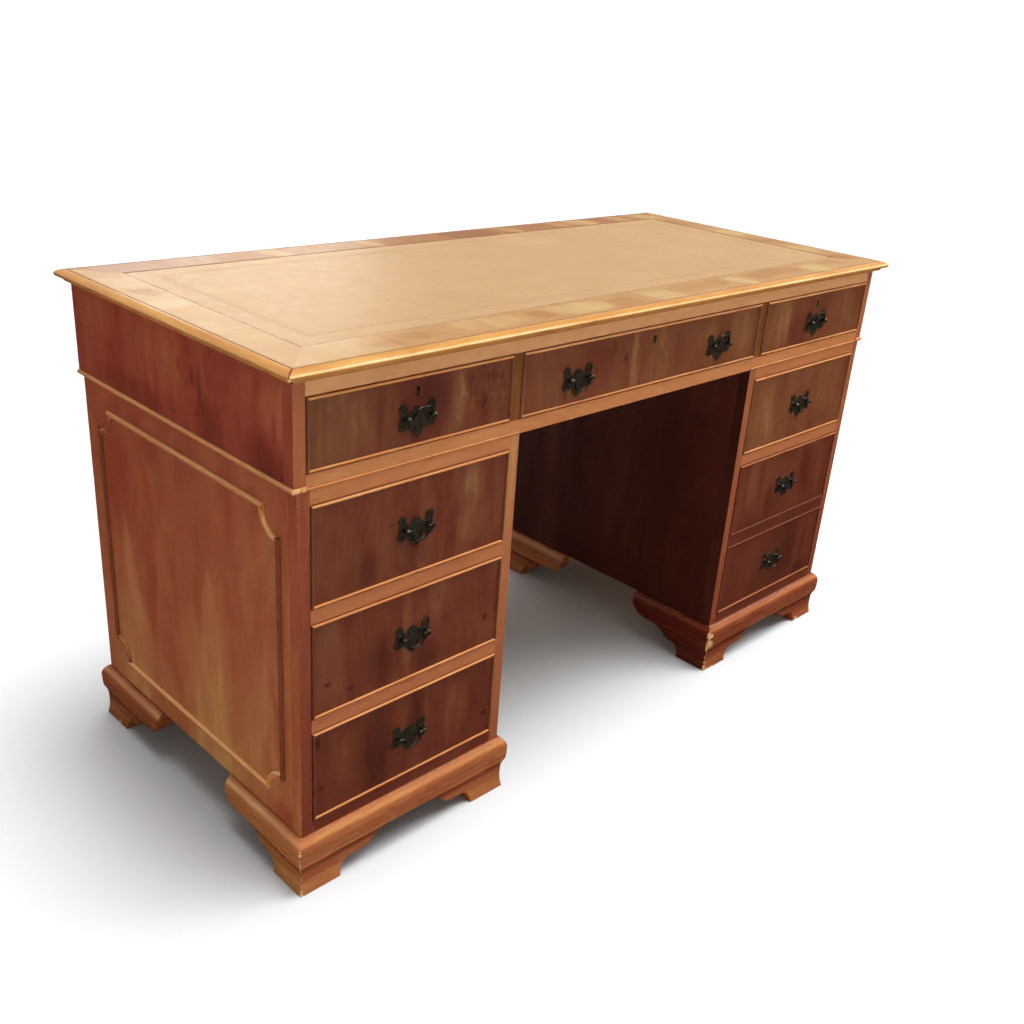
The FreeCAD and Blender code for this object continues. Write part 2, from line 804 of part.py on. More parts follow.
def save_frieze_drawers():
    pull_z = (frieze_open_low + frieze_open_high) / 2 - frieze_pull_drop
    left, centre, right = frieze_centres()
    centre_out = muntin_inner - centre_pull_inset
    pulls = {
        "left": [("", left, pull_z, left_bail_swing)],
        "centre": [("_left", centre - centre_out, pull_z, 0),
                   ("_right", centre + centre_out, pull_z, right_bail_swing)],
        "right": [("", right, pull_z, right_bail_swing)],
    }
    face = (frieze_open_low + drawer_gap, frieze_open_high - drawer_gap)
    for name, (x_low, x_high) in zip(pulls, frieze_bays()):
        save_drawer("frieze_" + name + "_drawer", x_low, x_high, frieze_open_low, frieze_open_high,
                    [face], pulls[name], True)


def pedestal_face(number):
    low = opening_bottom(number)
    return low + drawer_gap, low + drawer_opening_high - drawer_gap


def save_pedestal_drawer(name, x_low, x_high, first, last):
    # A drawer that fills the openings from first to last, with a mock front for each of them
    faces = [pedestal_face(number) for number in range(first, last + 1)]
    endings = ("_upper", "_lower") if last > first else ("",)
    middle = (x_low + x_high) / 2
    pulls = [(ending, middle, (low + high) / 2, 0) for ending, (low, high) in zip(endings, faces)]
    save_drawer(name, x_low, x_high, opening_bottom(last), opening_bottom(first) + drawer_opening_high,
                faces, pulls, False)


def save_pedestal_drawers():
    for number, name in enumerate(("upper", "middle", "lower")):
        save_pedestal_drawer("left_" + name + "_drawer", -opening_outer, -opening_inner, number, number)
    save_pedestal_drawer("right_upper_drawer", opening_inner, opening_outer, 0, 0)
    save_pedestal_drawer("right_file_drawer", opening_inner, opening_outer, 1, pedestal_drawers - 1)


save("top_board", [top_board()])
save("top_crossbanding", top_crossbanding())
save("leather_writing_surface", [leather_writing_surface()])
save("top_edge_moulding", top_edge_moulding())
save("frieze_end_panels", frieze_end_panels())
save("frieze_back_panel", [frieze_back_panel()])
save("frieze_front_rails", frieze_front_rails())
save("frieze_front_stiles", frieze_front_stiles())
save("frieze_partitions", frieze_partitions())
save("frieze_dust_boards", frieze_dust_boards())
save("waist_bead", waist_bead())
save("pedestal_outer_sides", pedestal_side(-pedestal_outer, -opening_outer))
save("pedestal_inner_sides", pedestal_side(-opening_inner, -pedestal_inner))
save("pedestal_backs", pedestal_backs())
save("pedestal_tops_and_bottoms", pedestal_tops_and_bottoms())
save("pedestal_stiles", pedestal_stiles())
save("pedestal_rails", pedestal_rails())
save("pedestal_drawer_runners", pedestal_drawer_runners())
save("side_panel_mouldings", side_panel_mouldings())
save("plinth_fronts_and_backs", plinth_fronts_and_backs())
save("side_bracket_feet", side_bracket_feet())
save("foot_corner_blocks", foot_corner_blocks())
save("locating_dowels", locating_dowels())
save_frieze_drawers()
save_pedestal_drawers()
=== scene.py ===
import bpy, bmesh, json, math, random
from mathutils import Matrix, Vector, noise


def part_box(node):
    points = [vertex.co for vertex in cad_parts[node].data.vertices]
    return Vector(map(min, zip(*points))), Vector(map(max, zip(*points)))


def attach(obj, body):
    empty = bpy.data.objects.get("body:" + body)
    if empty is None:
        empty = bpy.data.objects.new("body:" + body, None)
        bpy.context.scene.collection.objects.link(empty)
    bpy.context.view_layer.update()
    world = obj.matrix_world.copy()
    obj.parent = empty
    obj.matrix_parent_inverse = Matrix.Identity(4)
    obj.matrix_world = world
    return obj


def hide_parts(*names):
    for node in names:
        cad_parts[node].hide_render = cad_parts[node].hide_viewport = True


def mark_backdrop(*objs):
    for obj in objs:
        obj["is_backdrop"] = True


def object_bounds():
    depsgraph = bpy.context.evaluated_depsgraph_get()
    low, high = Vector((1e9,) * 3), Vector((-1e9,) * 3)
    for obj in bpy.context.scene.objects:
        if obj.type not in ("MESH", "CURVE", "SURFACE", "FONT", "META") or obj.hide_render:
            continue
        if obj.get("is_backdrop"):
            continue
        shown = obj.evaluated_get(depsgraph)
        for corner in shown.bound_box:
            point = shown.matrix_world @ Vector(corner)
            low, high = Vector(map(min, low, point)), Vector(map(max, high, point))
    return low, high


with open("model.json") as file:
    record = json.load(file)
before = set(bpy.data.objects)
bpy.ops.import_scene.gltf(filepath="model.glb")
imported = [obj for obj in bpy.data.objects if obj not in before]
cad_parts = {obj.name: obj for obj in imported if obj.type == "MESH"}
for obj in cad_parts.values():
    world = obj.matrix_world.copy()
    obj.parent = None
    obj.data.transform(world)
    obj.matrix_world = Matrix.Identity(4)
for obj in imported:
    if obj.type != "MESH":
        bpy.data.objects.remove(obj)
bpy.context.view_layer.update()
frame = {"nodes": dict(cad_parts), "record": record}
scene = bpy.context.scene
bodyOf = {n: body for body, nodes in frame["record"]["behaviour"]["bodies"].items() for n in nodes}
mm = 0.001
dice = random.Random(1977)


# sRGB hex to linear light
def linearColour(hexText):
    parts = [int(hexText[i:i + 2], 16) / 255 for i in (1, 3, 5)]
    return [p / 12.92 if p <= 0.04045 else ((p + 0.055) / 1.055) ** 2.4 for p in parts] + [1.0]


# adds a node: inputs by socket name or number, or a list in the order of the sockets
def put(tree, kind, inputs=(), out=0, stops=None, **settings):
    node = tree.nodes.new(kind)
    for key, value in settings.items():
        setattr(node, key, value)
    if stops:
        ramp = node.color_ramp.elements
        ramp.remove(ramp[1])
        for i, (place, hexText) in enumerate(stops.items()):
            stop = ramp.new(place) if i else ramp[0]
            stop.position, stop.color = place, linearColour(hexText)
    for key, value in inputs.items() if isinstance(inputs, dict) else enumerate(inputs):
        if isinstance(value, bpy.types.NodeSocket):
            tree.links.new(value, node.inputs[key])
        else:
            node.inputs[key].default_value = value
    return node.outputs[out] if len(node.outputs) else node


def freshTree(name):
    material = bpy.data.materials.new(name)
    material.use_nodes = True
    material.node_tree.nodes.clear()
    return material, material.node_tree


# one spot in some of the cells: cell size in mm, squeeze along the grain, core and rim in cells, depth
yewSpots = dict(pips=dict(cell=55, squeeze=0.5, core=0.02, rim=0.06, depth=-0.4),
                flecks=dict(cell=13, squeeze=0.2, core=0.04, rim=0.17, depth=-0.24))


# lacquered yew: fine ring lines along the grain, red heartwood drifting into olive sapwood,
# pips and short dark flecks, burr curls where marked, and edges rubbed pale where the lacquer has gone
def yewMaterial(name, look):
    material, tree = freshTree(name)
    grain = put(tree, "ShaderNodeAttribute", attribute_name="grain", out=1)
    figure, curl, tone, worn, chip = [put(tree, "ShaderNodeAttribute", attribute_name=key, out=2)
                                      for key in ("figure", "curl", "tone", "worn", "chip")]
    drawn, soft, long = [put(tree, "ShaderNodeVectorMath", [grain, (1, 1, look[key])], operation="MULTIPLY")
                         for key in ("drawn", "cloudDrawn", "fibreDrawn")]
    wander = put(tree, "ShaderNodeTexNoise",
                 {"Vector": drawn, "Scale": 1 / (look["wander"] * mm), "Detail": 2.0})
    streaks = put(tree, "ShaderNodeTexNoise",
                  {"Vector": drawn, "Scale": 1 / (look["streak"] * mm), "Detail": 3.0, "Roughness": 0.55,
                   "Distortion": 0.8})
    clouds = put(tree, "ShaderNodeTexNoise",
                 {"Vector": soft, "Scale": 1 / (look["cloud"] * mm), "Detail": 5.0, "Roughness": 0.6,
                  "Distortion": 0.5})
    fibres = put(tree, "ShaderNodeTexNoise",
                 {"Vector": long, "Scale": 1 / (look["fibre"] * mm), "Detail": 2.0})
    trunk = put(tree, "ShaderNodeMapping", {"Vector": grain, "Rotation": look["lean"]})
    across = put(tree, "ShaderNodeVectorMath", [trunk, (1, 1, 0)], operation="MULTIPLY")
    radius = put(tree, "ShaderNodeVectorMath", [across], out=1, operation="LENGTH")
    bent = put(tree, "ShaderNodeMath", [wander, look["bend"] * mm, radius], operation="MULTIPLY_ADD")
    turns = put(tree, "ShaderNodeMath", [bent, 2 * math.pi / (look["ring"] * mm)], operation="MULTIPLY")
    rings = put(tree, "ShaderNodeMath", [turns], operation="SINE")
    # the streaks break up the marks; the noises swing about a half, so their shares are taken off first
    broken = put(tree, "ShaderNodeMath", [streaks, look["breakUp"], 1 - look["breakUp"] / 2],
                 operation="MULTIPLY_ADD")
    marked = put(tree, "ShaderNodeMath", [figure, broken], operation="MULTIPLY")
    start = 0.5 - 0.5 * (look["streaks"] + look["clouds"] + look["fibres"])
    field = put(tree, "ShaderNodeMath", [marked, look["figure"], start], operation="MULTIPLY_ADD")
    for source, share in ((streaks, "streaks"), (clouds, "clouds"), (fibres, "fibres"), (rings, "rings"),
                          (tone, "tone")):
        field = put(tree, "ShaderNodeMath", [source, look[share], field], operation="MULTIPLY_ADD")
    for key, spot in yewSpots.items():
        if look[key]:
            spread = put(tree, "ShaderNodeVectorMath", [grain, (1, 0, spot["squeeze"])], operation="MULTIPLY")
            near = put(tree, "ShaderNodeTexVoronoi", {"Vector": spread, "Scale": 1 / (spot["cell"] * mm)})
            chosen = put(tree, "ShaderNodeSeparateColor", [near.node.outputs["Color"]])
            chosen = put(tree, "ShaderNodeMath", [chosen, look[key]], operation="LESS_THAN")
            dot = put(tree, "ShaderNodeMapRange", [near, spot["core"], spot["rim"], spot["depth"], 0.0])
            field = put(tree, "ShaderNodeMath", [dot, chosen, field], operation="MULTIPLY_ADD")
    if look["curl"]:  # burr: contour lines of a slow noise close into loops
        swirl = put(tree, "ShaderNodeTexNoise",
                    {"Vector": soft, "Scale": 1 / (look["swirl"] * mm), "Detail": 1.5, "Distortion": 0.5})
        loops = put(tree, "ShaderNodeMath", [swirl, 2 * math.pi * look["loops"]], operation="MULTIPLY")
        loops = put(tree, "ShaderNodeMath", [loops], operation="SINE")
        loops = put(tree, "ShaderNodeMath", [loops, look["loopShade"]], operation="SUBTRACT")
        loops = put(tree, "ShaderNodeMath", [loops, curl], operation="MULTIPLY")
        field = put(tree, "ShaderNodeMath", [loops, look["curl"], field], operation="MULTIPLY_ADD")
    colour = put(tree, "ShaderNodeValToRGB", [field], stops=look["stops"])
    rub = put(tree, "ShaderNodeTexNoise",
              {"Vector": grain, "Scale": 1 / (look["rubPatch"] * mm), "Detail": 4.0})
    rubbed = put(tree, "ShaderNodeMath", [rub, worn], operation="MULTIPLY")
    rubbed = put(tree, "ShaderNodeMapRange",
                 [rubbed, look["rub"], look["rub"] + look["rubSoft"], 0.0, look["rubMost"]])
    flaked = put(tree, "ShaderNodeMath", [rub, look["chipRagged"], chip], operation="MULTIPLY_ADD")
    flaked = put(tree, "ShaderNodeMapRange", [flaked, look["chipFrom"], 1.0, 0.0, look["chipMost"]])
    for bare in (rubbed, flaked):
        colour = put(tree, "ShaderNodeMix", {0: bare, 6: colour, 7: linearColour(look["raw"])}, out=2,
                     data_type="RGBA")
    rough = put(tree, "ShaderNodeMapRange",
                [streaks, *look["span"], *(look["rough"] + d for d in look["roughSpan"])])
    height = put(tree, "ShaderNodeMath", [rings, look["ringHeight"], fibres], operation="MULTIPLY_ADD")
    normal = put(tree, "ShaderNodeBump",
                 {"Strength": look["bump"], "Distance": look["bumpDeep"] * mm, "Height": height})
    shader = put(tree, "ShaderNodeBsdfPrincipled",
                 {"Base Color": colour, "Roughness": rough, "Normal": normal,
                  "Specular IOR Level": look["gloss"]})
    put(tree, "ShaderNodeOutputMaterial", {"Surface": shader})
    return material


yewBase = dict(
    # mm across the grain: each pattern's size, rings and fibres coarser than real ones so that they show,
    # and how far the rings wander
    streak=21, cloud=26, ring=4.2, fibre=1.7, wander=50, bend=30, swirl=30, rubPatch=12,
    # how much each is squeezed along the grain, and the board's lean in the log
    drawn=0.1, cloudDrawn=0.4, fibreDrawn=0.03, lean=(0.11, 0.05, 0),
    # what each adds to the tone
    figure=0.38, breakUp=1.0, streaks=0.24, clouds=0.34, fibres=0.035, rings=0.015, tone=0.2,
    curl=0.0, loops=13, loopShade=0.35,
    # share of the cells with a spot
    pips=0.06, flecks=0.3,
    # bare wood on rubbed edges and chips: where it starts, how softly, how bare
    raw="#d9ac74", rub=0.54, rubSoft=0.16, rubMost=0.6, chipRagged=0.8, chipFrom=0.85, chipMost=0.9,
    # lacquer
    rough=0.36, span=(0.25, 0.75), roughSpan=(-0.05, 0.08), gloss=0.28, bump=0.08, bumpDeep=0.4,
    ringHeight=0.25)
yewLooks = {
    "yewDrawerVeneer": dict(curl=0.1, stops={
        0: "#290c06", 0.28: "#4e1d10", 0.5: "#682d18", 0.7: "#784423", 0.88: "#916235", 1: "#b58a55"}),
    "yewPanelVeneer": dict(streak=26, cloud=34, pips=0.03, stops={
        0: "#601d0e", 0.28: "#91371f", 0.5: "#a5542d", 0.7: "#b5713e", 0.88: "#c89151", 1: "#deb26e"}),
    # the same veneer darkened where it stands in the kneehole's shade: painted shade
    "yewShadedVeneer": dict(streak=24, pips=0.03, stops={
        0: "#1b0703", 0.3: "#341107", 0.5: "#44180b", 0.75: "#572511", 1: "#74401f"}),
    "yewRail": dict(streaks=0.22, clouds=0.2, streak=12, pips=0.03, stops={
        0: "#6a2f17", 0.3: "#944e2b", 0.5: "#ab6137", 0.7: "#bc7541", 1: "#da9d65"}),
    "yewStile": dict(streaks=0.22, clouds=0.16, streak=10, pips=0.03, stops={
        0: "#521a0b", 0.3: "#75301a", 0.5: "#883f23", 0.75: "#a15c32", 1: "#be874c"}),
    # half-round slips: glossy lacquer, with light stops that carry the painted highlight on their lit runs
    "yewBead": dict(streaks=0.2, clouds=0.14, streak=10, pips=0.0, rough=0.26, gloss=0.3, stops={
        0: "#642c15", 0.3: "#974f2a", 0.5: "#b16838", 0.75: "#d0884a", 1: "#edb173"}),
    "yewMoulding": dict(streaks=0.3, clouds=0.3, streak=14, pips=0.03, rough=0.14, gloss=0.5, stops={
        0: "#5a3015", 0.3: "#935a2d", 0.5: "#b1783d", 0.75: "#ca9653", 1: "#e8c48c"}),
    "yewPlinth": dict(streaks=0.16, clouds=0.3, streak=18, pips=0.05, rub=0.48, rough=0.26, stops={
        0: "#5a1d10", 0.3: "#7d3a20", 0.5: "#9b532d", 0.75: "#b97440", 1: "#d6a465"}, gloss=0.45),
    "yewCrossband": dict(drawn=0.3, streak=34, figure=0.5, streaks=0.22, clouds=0.3, fibres=0.02, stops={
        0: "#7a451b", 0.25: "#97632f", 0.5: "#a67c49", 0.75: "#b2915d", 1: "#c3a578"},
        pips=0.02, flecks=0.1, rough=0.34, bump=0.03, gloss=0.34),
    # pale unfinished softwood inside the carcass: soft bands, a dry matt face
    "pineCarcass": dict(streaks=0.3, streak=12, ring=6, rings=0.06, pips=0.1, rough=0.62, gloss=0.2, stops={
        0: "#8a6238", 0.4: "#b58b5a", 0.7: "#c9a473", 1: "#dcc094"}),
    # drawer linings of sealed beech: close even grain, a faint satin
    "beechLining": dict(streaks=0.22, streak=7, rings=0.02, pips=0.0, rough=0.5, gloss=0.25, stops={
        0: "#96683f", 0.4: "#bb9063", 0.7: "#cca67b", 1: "#dcc19b"}),
    # dark polished line let in beside the edge moulding
    "ebonisedLine": dict(pips=0.0, rough=0.55, gloss=0.1, stops={0: "#1a0d07", 0.5: "#341a0e", 1: "#4d2b18"}),
}
woods = {name: yewMaterial(name, {**yewBase, **look}) for name, look in yewLooks.items()}


# antiqued brass: chemically browned almost black, rubbed to dull metal on the high curves
def brassMaterial(name, look):
    material, tree = freshTree(name)
    place = put(tree, "ShaderNodeTexCoord", out=3)
    patches = put(tree, "ShaderNodeTexNoise",
                  {"Vector": place, "Scale": 1 / (look["patch"] * mm), "Detail": 5.0})
    pits = put(tree, "ShaderNodeTexNoise", {"Vector": place, "Scale": 1 / (look["pit"] * mm), "Detail": 3.0})
    ridge = put(tree, "ShaderNodeNewGeometry", out=7)
    rubbed = put(tree, "ShaderNodeMath", [patches, look["ragged"], ridge], operation="MULTIPLY_ADD")
    rubbed = put(tree, "ShaderNodeMapRange", [rubbed, look["high"], look["high"] + look["soft"]])
    dark = put(tree, "ShaderNodeValToRGB", [patches], stops=look["stops"])
    colour = put(tree, "ShaderNodeMix", {0: rubbed, 6: dark, 7: linearColour(look["bare"])}, out=2,
                 data_type="RGBA")
    rough = put(tree, "ShaderNodeMapRange",
                [pits, *look["span"], *(look["rough"] + d for d in look["roughSpan"])])
    normal = put(tree, "ShaderNodeBump",
                 {"Strength": look["bump"], "Distance": look["bumpDeep"] * mm, "Height": pits})
    metal = put(tree, "ShaderNodeMapRange", {0: rubbed, 3: look["skin"], 4: 1.0})
    shader = put(tree, "ShaderNodeBsdfPrincipled",
                 {"Base Color": colour, "Roughness": rough, "Normal": normal, "Metallic": metal})
    put(tree, "ShaderNodeOutputMaterial", {"Surface": shader})
    return material


# patches and pits in mm, the pits coarser than real ones so that they show, where the high curves start to
# be bare, and how metallic the brown skin is
brassBase = dict(patch=6, pit=1.1, ragged=0.16, soft=0.09, span=(0.3, 0.7), roughSpan=(-0.08, 0.12), bump=0.2,
                 bumpDeep=0.3)
brassLooks = {
    "antiquedBrass": dict(bare="#7a705a", high=0.61, rough=0.3, skin=0.5,
                          stops={0.25: "#12120d", 0.55: "#1c1b14", 0.8: "#302c20"}),
    # bails and posts, polished by the hand
    "handledBrass": dict(bare="#857d6a", high=0.59, rough=0.28, skin=0.65,
                         stops={0.25: "#1d1b15", 0.55: "#2c2a22", 0.8: "#474337"}),
    # lock furniture and screws, dulled but never browned
    "dullBrass": dict(bare="#c2aa76", high=0.6, rough=0.38, skin=0.9,
                      stops={0.25: "#6a5733", 0.55: "#8b7546", 0.8: "#a28a58"}),
}
brasses = {name: brassMaterial(name, {**brassBase, **look}) for name, look in brassLooks.items()}


# vegetable-tanned skiver: fine pores, a cloudy tan, tooled lines burnished darker, scuffs by the edge
def leatherMaterial(name, look):
    material, tree = freshTree(name)
    place = put(tree, "ShaderNodeTexCoord", out=3)
    tool, rim = [put(tree, "ShaderNodeAttribute", attribute_name=key, out=2) for key in ("tool", "rim")]
    mottle = put(tree, "ShaderNodeTexNoise",
                 {"Vector": place, "Scale": 1 / (look["mottle"] * mm), "Detail": 5.0})
    stains = put(tree, "ShaderNodeTexNoise",
                 {"Vector": place, "Scale": 1 / (look["stain"] * mm), "Detail": 4.0})
    pores = put(tree, "ShaderNodeTexVoronoi", {"Vector": place, "Scale": 1 / (look["pore"] * mm)})
    field = put(tree, "ShaderNodeMath", [stains, look["stains"], mottle], operation="MULTIPLY_ADD")
    field = put(tree, "ShaderNodeMath", [tool, -look["tooled"], field], operation="MULTIPLY_ADD")
    colour = put(tree, "ShaderNodeValToRGB", [field], stops=look["stops"])
    scuff = put(tree, "ShaderNodeMath", [stains, look["ragged"], rim], operation="MULTIPLY_ADD")
    scuff = put(tree, "ShaderNodeMapRange", [scuff, *look["scuff"], 0.0, look["scuffMost"]])
    colour = put(tree, "ShaderNodeMix", {0: scuff, 6: colour, 7: linearColour(look["grime"])}, out=2,
                 data_type="RGBA")
    rough = put(tree, "ShaderNodeMapRange",
                [stains, *look["span"], *(look["rough"] + d for d in look["roughSpan"])])
    normal = put(tree, "ShaderNodeBump",
                 {"Strength": look["bump"], "Distance": look["bumpDeep"] * mm, "Height": pores})
    shader = put(tree, "ShaderNodeBsdfPrincipled",
                 {"Base Color": colour, "Roughness": rough, "Normal": normal,
                  "Specular IOR Level": look["gloss"]})
    put(tree, "ShaderNodeOutputMaterial", {"Surface": shader})
    return material


# mottle, stains and pores in mm, the pores coarser than real ones so that they show, and the grimy rim
leatherBase = dict(mottle=110, stain=22, pore=1.6, stains=0.35, ragged=0.6, scuff=(1.05, 1.3),
                   scuffMost=0.65, grime="#6b4d2e", span=(0.3, 0.7), roughSpan=(-0.05, 0.05), gloss=0.5,
                   bump=0.18, bumpDeep=0.3)
leatherLooks = {
    "leatherSkiver": dict(tooled=0.4, rough=0.42,
                          stops={0.2: "#a37e54", 0.55: "#aa8459", 0.7: "#ac865b", 0.9: "#ae8a60"}),
    # the stamped border, burnished by the hot wheel
    "leatherTooling": dict(tooled=0.0, rough=0.3, stops={0.2: "#77572f", 0.7: "#8d6b42", 0.9: "#9a7a52"}),
}
leathers = {name: leatherMaterial(name, {**leatherBase, **look}) for name, look in leatherLooks.items()}
print("materials:", len(woods) + len(brasses) + len(leathers))

# points in the same micrometre are one; a point this near a cut (m) is on it; a show face leans less than
# this and lies this near its side (mm)
weldSteps, onCut, showFlat, showNear = 1e6, 1e-7, 0.99, 0.3


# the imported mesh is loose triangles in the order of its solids: one ends where its last edge closes
def solidsOf(node):
    mesh = frame["nodes"][node].data
    ids, corner, points = {}, [], []
    for v in mesh.vertices:
        key = tuple(round(c * weldSteps) for c in v.co)
        if key not in ids:
            ids[key] = len(points)
            points.append(v.co.copy())
        corner.append(ids[key])
    solids, faces, loose = [], [], set()
    for polygon in mesh.polygons:
        a, b, c = [corner[i] for i in polygon.vertices]
        if len({a, b, c}) == 3:
            faces.append((a, b, c))
            for edge in ((a, b), (b, c), (c, a)):
                if edge[::-1] in loose:
                    loose.discard(edge[::-1])
                else:
                    loose.add(edge)
        if faces and not loose:
            solids.append(solidMesh(points, faces))
            faces = []
    return solids


def solidMesh(points, faces):
    bm = bmesh.new()
    bm.faces.layers.float.new("worn")
    made = {}
    for face in faces:
        for i in face:
            if i not in made:
                made[i] = bm.verts.new(points[i])
        bm.faces.new([made[i] for i in face])
    bm.normal_update()
    return bm


def boxOf(bm):
    axes = [[v.co[i] for v in bm.verts] for i in range(3)]
    return Vector([min(a) for a in axes]), Vector([max(a) for a in axes])


def longestWay(size, axes=range(3)):
    return max(axes, key=lambda a: size[a])


def onAxis(axis, length=1.0):
    return Vector([length if i == axis else 0.0 for i in range(3)])


def cutAt(bm, spot, way, part=None, **more):
    return bmesh.ops.bisect_plane(bm, geom=part or [*bm.verts, *bm.edges, *bm.faces], dist=onCut,
                                  plane_co=spot, plane_no=way, **more)


# flat facets are joined, then the long sharp edges get a small real round; angles in degrees
easeLook = dict(flat=0.4, sharp=25, steps=2)


def easeEdges(bm, width, shortest):
    bmesh.ops.dissolve_limit(bm, angle_limit=math.radians(easeLook["flat"]), verts=bm.verts, edges=bm.edges)
    edges = [e for e in bm.edges if len(e.link_faces) == 2 and e.calc_length() > shortest
             and e.calc_face_angle(0) > math.radians(easeLook["sharp"])]
    if not width or not edges:
        return
    made = bmesh.ops.bevel(bm, geom=edges, offset=width, offset_type="OFFSET", segments=easeLook["steps"],
                           profile=0.5, affect="EDGES", clamp_overlap=True)
    layer = bm.faces.layers.float["worn"]
    for face in made["faces"]:
        face[layer] = 1.0
    bm.normal_update()


# a show face is cut into small squares, so that the veneer's figure can be laid on its points
def squareUp(bm, faces, axes, step):
    part = list(dict.fromkeys(g for f in faces for g in (f, *f.edges, *f.verts)))
    for axis in axes:
        places = [v.co[axis] for v in part if isinstance(v, bmesh.types.BMVert)]
        low, high = min(places), max(places)
        count = max(1, round((high - low) / step))
        for k in range(1, count):
            cut = cutAt(bm, onAxis(axis, low + (high - low) * k / count), onAxis(axis), part)
            part = list(dict.fromkeys([*cut["geom"], *cut["geom_cut"]]))
    bm.normal_update()


def fade(low, high, value):
    t = min(1.0, max(0.0, (value - low) / (high - low)))
    return t * t * (3 - 2 * t)


# how the marks of a figure are drawn, in mm on the face: the sway of the grain (reach, waves per mm across
# and up, sheet of the noise), each kind's faded and full rim in half sizes, a flame's taper, and a patch's
# ragged rim, slant and squareness
figureLook = dict(sway=((7, 0.012, 0.004, 2.5), (3, 0.05, 0.012, 8.5)),
                  rims=dict(flame=(1.5, 0.3), patch=(1.3, 0.5), band=(1.0, 0.2), cloud=(1.3, 0.35),
                            curl=(1.3, 0.35)),
                  taper=0.75, ragged=(9, 0.03, 0.03, 5.5), slant=0.3, square=3)


def swayAt(u, v, reach, across, up, sheet):
    return reach * noise.noise((u * across, v * up, sheet))


# light (+) and dark (-) marks of the figure, in mm on the face: a slope shades the whole face, a leaf ends
# at a joint of the veneer, a flame points up from its base, a patch has a crisp rim, a band runs along a
# moulding, a curl brings out the burr, a mitre darkens the joint across a corner, a cloud is soft
def figureAt(u, v, marks):
    drift = sum(swayAt(u, v, *row) for row in figureLook["sway"])
    total = curl = 0.0
    for kind, atU, atV, halfU, halfV, amount in marks:
        rims = figureLook["rims"].get(kind)
        du, dv = u + drift - atU, v - atV
        if kind == "slope":
            total += amount * dv / halfV
        elif kind == "leaf":
            total += amount if u < atU else 0.0
        elif kind == "mitre":
            total += amount * fade(halfV, halfU, abs(abs(u) - abs(v) - atU) * math.sqrt(0.5))
        elif kind == "flame":
            rise = dv / halfV
            if rise < 1:
                width = halfU * (1 - max(rise, 0)) ** figureLook["taper"]
                total += amount * fade(*rims, abs(du) / max(width, 1.0))
        elif kind == "patch":
            dv += swayAt(u, v, *figureLook["ragged"])
            du += figureLook["slant"] * dv
            reach = (abs(du) / halfU) ** figureLook["square"] + (abs(dv) / halfV) ** figureLook["square"]
            total += amount * fade(*rims, reach)
        elif kind == "band":
            total += amount * fade(*rims, abs(dv) / halfV)
        else:
            near = amount * fade(*rims, math.hypot(du / halfU, dv / halfV))
            total, curl = (total, curl + near) if kind == "curl" else (total + near, curl)
    return total, curl


# the marks of one figure, listed by kind: across the face, up it, half sizes, light or dark
def figureFrom(**kinds):
    return [(kind, *row) for kind, rows in kinds.items() for row in rows]


# bare patches: cuts across each in shares of its reach, kept this far from the board's sides in mm,
# and the share of the reach that is quite bare
chipLook = dict(cuts=(-1, -0.5, 0, 0.5, 1), margin=0.3, core=0.3)


# extra points where a bare patch sits, so that the patch can be laid on them
def nick(bm, chips):
    low, high = boxOf(bm)
    margin = chipLook["margin"] * mm
    for place, reach in chips:
        spot = Vector(place) * mm
        if any(not low[i] - reach * mm < spot[i] < high[i] + reach * mm for i in range(3)):
            continue
        for axis in range(3):
            for share in chipLook["cuts"]:
                cut = spot[axis] + share * reach * mm
                if low[axis] + margin < cut < high[axis] - margin:
                    cutAt(bm, onAxis(axis, cut), onAxis(axis))
    bm.normal_update()


def newStore():
    return dict(points=[], faces=[], grain=[], figure=[], curl=[], tone=[], chip=[], worn=[], finish=[])


# where in the log each board is cut, in m: across, out from the heart, along. The painted light by facing
# (painted highlight above, painted shade below) is brightest where the normal points at least this far up
logRange, paintedLightUp = ((-0.05, 0.05), (0.02, 0.09), (-1.2, 1.2)), 0.6


# one solid's points and faces, with what the wood shows there: a round is painted lighter where it faces up
# and darker beneath, painted highlight and painted shade, and a level line runs round the piece; the lines in
# use are painted highlights and painted shade
def gather(store, bm, along, tone=0.0, finish=0, marks=(), plane=(0, 2), chips=(), finishOf=None,
           edgeMarks=(), crest=0.0, lines=()):
    bm.normal_update()
    low, high = boxOf(bm)
    centre = (low + high) / 2
    order = sorted((i for i in range(3) if i != along), key=lambda i: low[i] - high[i]) + [along]
    shift = [dice.uniform(*ends) for ends in logRange]
    base = len(store["points"])
    finishOf = finishOf or {}
    onEdge = {v for face in finishOf for v in face.verts}
    bm.verts.index_update()
    for v in bm.verts:
        local = v.co - centre
        store["points"].append(tuple(v.co))
        store["grain"].extend(local[i] + s for i, s in zip(order, shift))
        if v in onEdge:
            figure, curl = figureAt(v.co[1] / mm, v.co[2] / mm, edgeMarks)
        else:
            figure, curl = figureAt(v.co[plane[0]] / mm, v.co[plane[1]] / mm, marks)
        # painted light: lighter where the normal faces up, darker where it faces down, plus the painted level
        # bands
        figure += crest * (2 * fade(0.0, paintedLightUp, v.normal[2]) - 1) + figureAt(0, v.co[2] / mm, lines)[0]
        store["figure"].append(figure)
        store["curl"].append(curl)
        store["tone"].append(0.0 if v in onEdge else tone)
        store["chip"].append(max([fade(r * mm, r * mm * chipLook["core"], (v.co - Vector(p) * mm).length)
                                  for p, r in chips], default=0.0))
    layer = bm.faces.layers.float["worn"]
    for face in bm.faces:
        store["faces"].append([base + v.index for v in face.verts])
        store["worn"].append(face[layer])
        store["finish"].append(finishOf.get(face, finish))
    bm.free()


def pieceName(node):
    first, *rest = node.split("_")
    return first + "".join(word.capitalize() for word in rest)


def smoothShade(mesh, crease):
    mesh.polygons.foreach_set("use_smooth", [True] * len(mesh.polygons))
    mesh.set_sharp_from_angle(angle=math.radians(crease))


